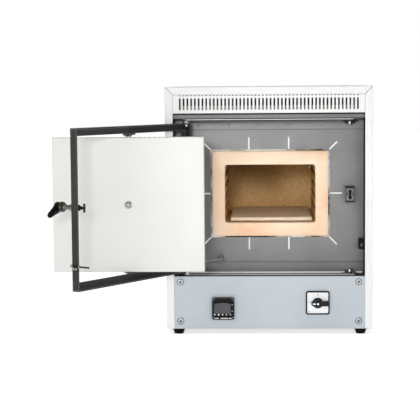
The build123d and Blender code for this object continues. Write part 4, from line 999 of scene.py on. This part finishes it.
def centre_fastener():
    """A bright quarter-turn stud in a knurled rosette, in the middle of the door panel; dark pieces in the
    rosette's groove and the stud's slots are painted shade.
    """
    place = face("centre_cap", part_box("door_skin")[0].y)
    rosette = turned([(7.4, 0), (7.7, 0.4), (7.6, 1.0), (6.6, 1.4), (5.9, 1.0), (5.6, 1.4)], 48)
    # dark arcs in the rosette's groove: painted shade
    groove_shade = []
    for angle, length in ((60, 4.4), (112, 2.0), (150, 2.4), (205, 2.6), (262, 3.6), (320, 4.6)):
        arc = moved(stack(rounded(1.7, length, 0.8), [(1, 0.6), (1, 1.5), (0.9, 1.7)]), 6.1)
        groove_shade.append(moved(arc, turn=angle))
    head = turned([(5.2, 1.0), (5.2, 3.0), (4.7, 3.8), (3.4, 4.4), (1.2, 4.7)], 40)
    slots = [moved(stack(rounded(9.0, 1.5, 0.6), [(1, 2.6), (1.1, 6)]), y=y) for y in STUD_SLOTS]
    stud = moved(carved(head, joined(slots)), turn=-STUD_TURN)
    put("door_stud", "door_panel", BRIGHT, [rosette, stud], place, ["centre_cap"])
    # dark fills in the stud's slots: painted shade
    slot_shade = [moved(stack(rounded(7.4, 1.2, 0.5), [(1, 2.5), (1, 3.0)]), y=y) for y in STUD_SLOTS]
    slot_shade = [moved(fill, turn=-STUD_TURN) for fill in slot_shade]
    put("door_stud_shade", "door_panel", GUNMETAL, [*groove_shade, *slot_shade], place)


# how far out and up each section of a wing lies, and half its height and width
WING_SECTIONS = (
    (2.0, 1.6, 1.2, 1.4), (5.0, 2.0, 1.5, 1.2), (8.0, 3.0, 1.7, 1.1),
    (10.4, 3.8, 1.3, 1.0), (11.4, 4.1, 0.5, 0.5),
)


def wing_nut():
    """Two swept wings on a small boss, standing on Z = 0."""
    boss = turned([(4.4, 0), (4.4, 0.8), (3.4, 3.0), (3.0, 3.6)], 28)
    wings = []
    for side in (-1, 1):
        loops = []
        for out, up, half_height, half_width in WING_SECTIONS:
            loops.append([(side * out, half_width * x, up + half_height * y) for x, y in ring(1.0, 12)])
        wings.append(skin(loops))
    return [boss, *wings]


def pivot_bolts():
    """A bolt and a washer at the top and bottom of the door panel, with a wing nut on the upper one."""
    pivot = joints["panel_swivel"]["pos_m"]
    bolts, nuts = [], []
    for low, high in solids("pivot_bolts"):
        upper = middle((low, high)).z > pivot[2]
        outward = UPWARD if upper else -UPWARD
        place = at((pivot[0], pivot[1], low.z if upper else high.z), outward)
        tall = (high.z - low.z) / MM
        bolt = turned([(3.4, 0), (4.0, 0.5), (4.0, tall - 5.0), (3.6, tall - 4.6)], 28)
        head = moved(hexagon(10.0, [(0.9, 0), (1.0, 0.4), (1.0, 3.6), (0.88, 4.2)]), z=tall - 4.4)
        bolts += [placed(part, place) for part in (bolt, head)]
        skin_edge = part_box("door_skin")[1 if upper else 0].z
        seat = at((pivot[0], pivot[1], skin_edge), outward)
        parts = [turned([(6.4, 0), (6.6, 0.2), (6.6, 0.9), (6.3, 1.1)], 32)]
        if upper:
            parts += [moved(part, z=1.1, turn=-18) for part in wing_nut()]
        nuts += [placed(part, seat) for part in parts]
    put("pivot_bolt_heads", "door_panel", GUNMETAL, bolts, stands_for=["pivot_bolts"])
    put("pivot_wing_nut", "door_panel", BRIGHT, nuts)


def interlock_pin():
    """The threaded rod that reaches the interlock, with its nuts, and the clip and studs that hold it."""
    hinge = Vector(joints["door_swing"]["pos_m"])
    axis = Vector(joints["latch_turn"]["axis"])
    low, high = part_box("interlock_rod")
    along = UPWARD.cross(axis)
    frame_end = (Vector(joints["latch_turn"]["pos_m"]) - hinge).dot(along) + 10 * MM
    rod_radius = 1.7
    offset = frame_end + (0.2 + rod_radius) * MM
    height = (low.z + high.z) / 2 + 3.5 * MM
    start = hinge + along * offset
    place = at((start.x, start.y, height), axis)
    thread = [(1.2, -36.0), (rod_radius, -35.2)]
    for step in range(24):
        thread += [(rod_radius, -35.0 + step), (rod_radius - 0.25, -34.5 + step)]
    thread += [(rod_radius, -10.0), (rod_radius, 11.2), (1.2, 12.0)]
    rod = turned(thread, 20)
    nuts = [moved(hexagon(6.0, [(0.88, 0), (1, 0.4), (1, 2.2), (0.88, 2.6)]), z=z) for z in (-12.5, 5.2, 8.4)]
    put("interlock_thread", "door_frame", GUNMETAL, [rod], place, ["interlock_rod"])
    clip = moved(stack(rounded(3.4, 9.0, 1.0), [(1, -6.9), (1, 4.0)]), -0.3, -4.4)
    put("interlock_clip", "door_frame", GUNMETAL, [clip], place)
    studs = []
    for z in (-4.4, 1.4):
        stud = moved(turned([(1.6, 0), (2.2, 0.4), (2.2, 1.6), (1.2, 2.2)], 20), turn=90, axis="Y")
        studs.append(moved(stud, 1.2, -4.4, z))
    put("interlock_nuts", "door_frame", BRIGHT, [*nuts, *studs], place)


# how far the anchors stay under the plug's face, clear of the collar when the door is shut
ANCHOR_SINK = 1.9


def fibre_plug():
    """The door's insulation, a base and its raised plug with worn soft edges, and four sunk anchors."""
    low, high = (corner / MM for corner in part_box("door_plug"))
    collar_low, collar_high = (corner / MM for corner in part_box("muffle_collar"))
    skin_low, skin_high = (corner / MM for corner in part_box("door_skin"))
    width = collar_high.x - collar_low.x
    tall = collar_high.z - collar_low.z
    step_y = skin_high.y - 2.0
    thick = step_y - low.y
    raised = high.y - step_y
    centre_x = (skin_low.x + skin_high.x) / 2
    plug_x = centre_x + (collar_low.x + collar_high.x) / 2
    plug_z = (collar_low.z + collar_high.z) / 2
    base = stack(rounded(high.x - low.x, high.z - low.z, 3.0), [(1, 0), (1, thick - 0.8), (0.994, thick)])
    levels = [(1, -4.0), (1, raised - 4.0), (0.99, raised - 1.4), (0.97, raised)]
    plug = stack(rounded(width, tall, 4.0), levels)
    backward = -FORWARD
    base = placed(base, at(Vector((centre_x, low.y, (low.z + high.z) / 2)) * MM, backward))
    plug = placed(plug, at(Vector((plug_x, step_y, plug_z)) * MM, backward))
    passing = scratch(joined([base, plug]))
    remesh = passing.modifiers.new("remesh", "REMESH")
    remesh.mode = "VOXEL"
    remesh.voxel_size = 2.2 * MM
    soften = passing.modifiers.new("soften", "SMOOTH")
    soften.iterations = 3
    rough = bpy.data.textures.new("fibre_lumps", "CLOUDS")
    rough.noise_scale = 12 * MM
    lumps = passing.modifiers.new("lumps", "DISPLACE")
    lumps.texture = rough
    lumps.strength = 0.9 * MM
    lumps.mid_level = 0.5
    shape = evaluated(passing)
    put("fibre_plug", "door_panel", FIBRE, [shape], stands_for=["door_plug"], sharp=80)
    studs = []
    for x in (-1, 1):
        for z in (-1, 1):
            stud = turned([(5.0, -0.6), (5.4, 0.2), (4.8, 1.0), (2.2, 1.2), (1.8, 0.5)], 28)
            spot = Vector((plug_x + x * width * 0.36, high.y - ANCHOR_SINK, plug_z + z * tall * 0.34))
            studs.append(placed(stud, at(spot * MM, backward)))
    put("plug_anchors", "door_panel", MUFFLE, studs)


centre_fastener()
pivot_bolts()
interlock_pin()
fibre_plug()

# ---- muffle mouth and spare sockets -------------------------------------------------------------

GAP = 2.8
MOUTH_WIDE, MOUTH_TALL = 196.0, 126.0
WELDS, WELD_PITCH, WELD_SHIFT = 5, 66.0, -20.0


def muffle_mouth():
    """The collar with its rounded rim, and the blanket that packs the gap round it."""
    low, high = (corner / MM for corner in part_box("muffle_collar"))
    wide, tall = high.x - low.x, high.z - low.z
    place = face("muffle_collar")
    thick = high.y - low.y
    outer = rounded(wide - 1.8, tall - 1.8, 7.0)
    inner = rounded(MOUTH_WIDE, MOUTH_TALL, 6.0)
    wider = rounded(MOUTH_WIDE + 1.6, MOUTH_TALL + 1.6, 6.8)
    loops = [
        loop(outer, -thick), loop(outer, -1.6), loop(outer, -0.5, 0.996), loop(outer, 0.0, 0.988),
        loop(wider, 0.0), loop(inner, -0.8), loop(inner, -thick),
    ]
    face_ring = skin(loops, closed=True)
    put("collar_face", "cabinet", MUFFLE, [face_ring], place, ["muffle_collar"])
    sunk = low.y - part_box("front_plate")[0].y / MM - 0.9
    around = rounded(wide + 2 * GAP, tall + 2 * GAP, 3.0)
    within = rounded(wide - 0.2, tall - 0.2, 2.8)
    packing = band(around, within, sunk - 3.0, sunk, 0.5)
    passing = scratch(packing)
    cuts = passing.modifiers.new("cuts", "SUBSURF")
    cuts.subdivision_type = "SIMPLE"
    cuts.levels = 2
    rough = bpy.data.textures.new("packing_lumps", "CLOUDS")
    rough.noise_scale = 9.0
    lumps = passing.modifiers.new("lumps", "DISPLACE")
    lumps.texture = rough
    lumps.strength = 0.9
    put("collar_packing", "cabinet", PACKING, [evaluated(passing)], place, sharp=60)


def socket_brackets():
    """A folded dark ear each side of every spare hinge socket, and a bright bush in its middle."""
    ears, bushes = [], []
    for low, high in solids("spare_sockets"):
        centre = middle((low, high))
        upper = centre.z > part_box("front_plate")[1].z - 30 * MM
        base = high.z if upper else low.z
        place = at((centre.x, centre.y, base), -UPWARD if upper else UPWARD)
        tall = (high.z - low.z) / MM
        for side in (-1, 1):
            ear = stack(rounded(4.2, 13.0, 1.6), [(1, 0), (1, tall * 0.62), (0.9, tall * 0.72)])
            shoe = stack(rounded(7.0, 13.0, 1.6), [(1, 0), (1, 2.2), (0.95, 2.6)])
            ears += [placed(part, place) for part in (moved(ear, side * 8.4), moved(shoe, side * 13.0))]
        rim = [(5.2, tall - 1.2), (4.6, tall - 0.2), (3.0, tall), (2.6, tall - 0.5), (2.6, tall - 5)]
        bush = turned([(5.0, 0), (5.2, 0.4), *rim])
        bushes.append(placed(bush, place))
    put("socket_ears", "cabinet", GUNMETAL, ears)
    put("socket_bushes", "cabinet", BRIGHT, bushes, stands_for=["spare_sockets"])


def spot_welds():
    """Shallow round dimples along the plate's upper flange, where it is spot-welded."""
    low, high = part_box("front_plate")
    height = (creases[1] + high.z) / 2 - 2 * MM
    dimples = []
    for index in range(WELDS):
        x = (index - (WELDS - 1) / 2) * WELD_PITCH + WELD_SHIFT
        dimple = turned([(2.9, 0.0), (2.8, 0.18), (2.2, 0.22), (1.9, 0.1), (0.6, 0.05)], 24)
        dimples.append(placed(dimple, at((x * MM, low.y, height), FORWARD)))
    put("spot_weld_marks", "cabinet", GALVANISED, dimples)


def switch_terminals():
    """Two small screws on the face of the interlock switch, tinted blue as a painted reflection that gives the
    switch its bluish glints.
    """
    low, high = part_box("interlock_switch")
    caps = []
    for z in (-4.5, -0.5):
        cap = turned([(1.9, 0.0), (1.9, 0.5), (1.4, 0.8)], 20)
        caps.append(placed(cap, at((low.x + 6.2 * MM, low.y, (low.z + high.z) / 2 + z * MM), FORWARD)))
    put("switch_terminals", "cabinet", GLINT_BLUE_METAL, caps)


muffle_mouth()
socket_brackets()
spot_welds()
switch_terminals()

# ---- rear gland ---------------------------------------------------------------------------------

def gland():
    """The empty mains gland: nut, ribbed dome and seal outside the rear panel, lock nut and neck inside."""
    place = face("mains_gland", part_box("rear_panel")[1].y, -FORWARD)
    nut = hexagon(20.6, [(0.93, 0), (1, 0.6), (1, 5.4), (0.93, 6.0)])
    dome = carved(
        turned([(9.6, 6.0), (10.0, 6.6), (10.0, 17.0), (9.2, 20.0), (7.6, 22.6), (6.4, 23.8)], 48),
        turned([(4.5, 5.0), (4.5, 22.0), (5.2, 25.0)], 36),
    )
    ribs = []
    for index in range(18):
        rib = moved(stack(rounded(1.0, 1.6, 0.4), [(0.8, 6.4), (1, 7.0), (1, 16.4), (0.7, 17.4)]), 10.0)
        ribs.append(moved(rib, turn=index * 20))
    lock = hexagon(20.6, [(0.93, -6.5), (1, -6.0), (1, -2.1), (0.93, -1.6)])
    neck = carved(turned([(7.9, -15.6), (7.9, 1.0)], 36), turned([(4.5, -17), (4.5, 3)], 36))
    parts = [nut, dome, *ribs, lock, neck]
    put("cable_gland", "cabinet", BLACK, parts, place, ["mains_gland"])
    seal = carved(turned([(4.8, 19.6), (5.4, 22.8), (5.0, 23.4)], 36), turned([(3.4, 18), (3.4, 25)], 36))
    put("gland_seal", "cabinet", RUBBER, [seal], place)


gland()


# ---- camera, light and floor --------------------------------------------------------------------

# focal length and image side in the same unit, and the camera's three turns
IMAGE_SIDE = 420
FOCAL_PIXELS = 1417.0
YAW, PITCH, ROLL = radians(2.28), radians(5.1), radians(-0.44)
CABINET_FRONT = -0.295
CAMERA_PLACE = Vector((-0.00615, CABINET_FRONT - 3.004, 0.536))

level = Vector((-sin(YAW), cos(YAW), 0))
across = Vector((cos(YAW), sin(YAW), 0))
upright = Vector((0, 0, 1))
forward = level * cos(PITCH) - upright * sin(PITCH)
above = upright * cos(PITCH) + level * sin(PITCH)
right = across * cos(ROLL) + above * sin(ROLL)
top = above * cos(ROLL) - across * sin(ROLL)

camera_data = bpy.data.cameras.new("camera")
camera = bpy.data.objects.new("camera", camera_data)
bpy.context.scene.collection.objects.link(camera)
camera_data.sensor_width = 36.0
camera_data.lens = FOCAL_PIXELS / IMAGE_SIDE * camera_data.sensor_width
turn = Matrix((right, top, -forward)).transposed().to_4x4()
camera.matrix_world = Matrix.Translation(CAMERA_PLACE) @ turn
bpy.context.scene.camera = camera


def area_light(name, place, target, size, power, spread=180):
    """A soft rectangular lamp aimed at a target; the power is in watts and the spread in degrees."""
    data = bpy.data.lights.new(name, "AREA")
    data.shape = "RECTANGLE"
    data.size, data.size_y = size
    data.energy = power
    data.spread = radians(spread)
    light = bpy.data.objects.new(name, data)
    bpy.context.scene.collection.objects.link(light)
    light.location = place
    light.rotation_euler = (Vector(target) - Vector(place)).to_track_quat("-Z", "Y").to_euler()


area_light("key", (-1.5, -3.2, 1.9), (0, -0.3, 0.3), (1.3, 1.3), 4)
area_light("front", (-0.42, -3.6, 0.86), (0.05, 0, 0.28), (0.5, 0.35), 22)
area_light("right", (1.1, -3.2, 1.0), (-0.05, 0, 0.28), (0.5, 0.5), 1.5)
# Two narrow lamps reach the two sides of the chamber's back wall through its mouth.
area_light("mouth_left", (-0.80, -2.7, 0.62), (0.012, -0.24, 0.296), (0.35, 0.35), 0.035, 7)
area_light("mouth_right", (0.62, -2.7, 0.95), (0.0, -0.24, 0.296), (0.35, 0.35), 0.06, 7)
area_light("over", (0.2, -0.6, 3.0), (0, -0.1, 0.3), (2.2, 2.2), 6)

# The sky is brightest in a low ring, as a white studio sweep is, and dimmer overhead.
world = bpy.data.worlds.new("world")
bpy.context.scene.world = world
world.use_nodes = True
sky = world.node_tree
direction = sky.nodes.new("ShaderNodeTexCoord")
split = sky.nodes.new("ShaderNodeSeparateXYZ")
glow = sky.nodes.new("ShaderNodeValToRGB")
glow.color_ramp.elements[0].position = 0.10
glow.color_ramp.elements[0].color = (1, 1, 1, 1)
glow.color_ramp.elements[1].position = 0.35
glow.color_ramp.elements[1].color = (0.46, 0.46, 0.46, 1)
sky.links.new(direction.outputs["Generated"], split.inputs["Vector"])
sky.links.new(split.outputs["Z"], glow.inputs["Fac"])
sky.links.new(glow.outputs["Color"], sky.nodes["Background"].inputs["Color"])
sky.nodes["Background"].inputs["Strength"].default_value = 1.0
bpy.context.scene.view_settings.view_transform = "Standard"

FLOOR_REACH = 12
floor_mesh = bpy.data.meshes.new("floor")
floor_corners = [(FLOOR_REACH * x, FLOOR_REACH * y, 0) for x, y in ((-1, -1), (1, -1), (1, 1), (-1, 1))]
floor_mesh.from_pydata(floor_corners, [], [(0, 1, 2, 3)])
floor = bpy.data.objects.new("floor", floor_mesh)
bpy.context.scene.collection.objects.link(floor)
pale = Paint("pale_floor", 0.9, specular=0.1)
pale.colour(pale.ramp(pale.noise(0.7, 2), [(0.2, (0.93, 0.93, 0.93)), (0.8, (0.96, 0.96, 0.96))]))
pale.shader.inputs["Emission Color"].default_value = (1, 1, 1, 1)
pale.shader.inputs["Emission Strength"].default_value = 0.6
floor_mesh.materials.append(pale.mat)
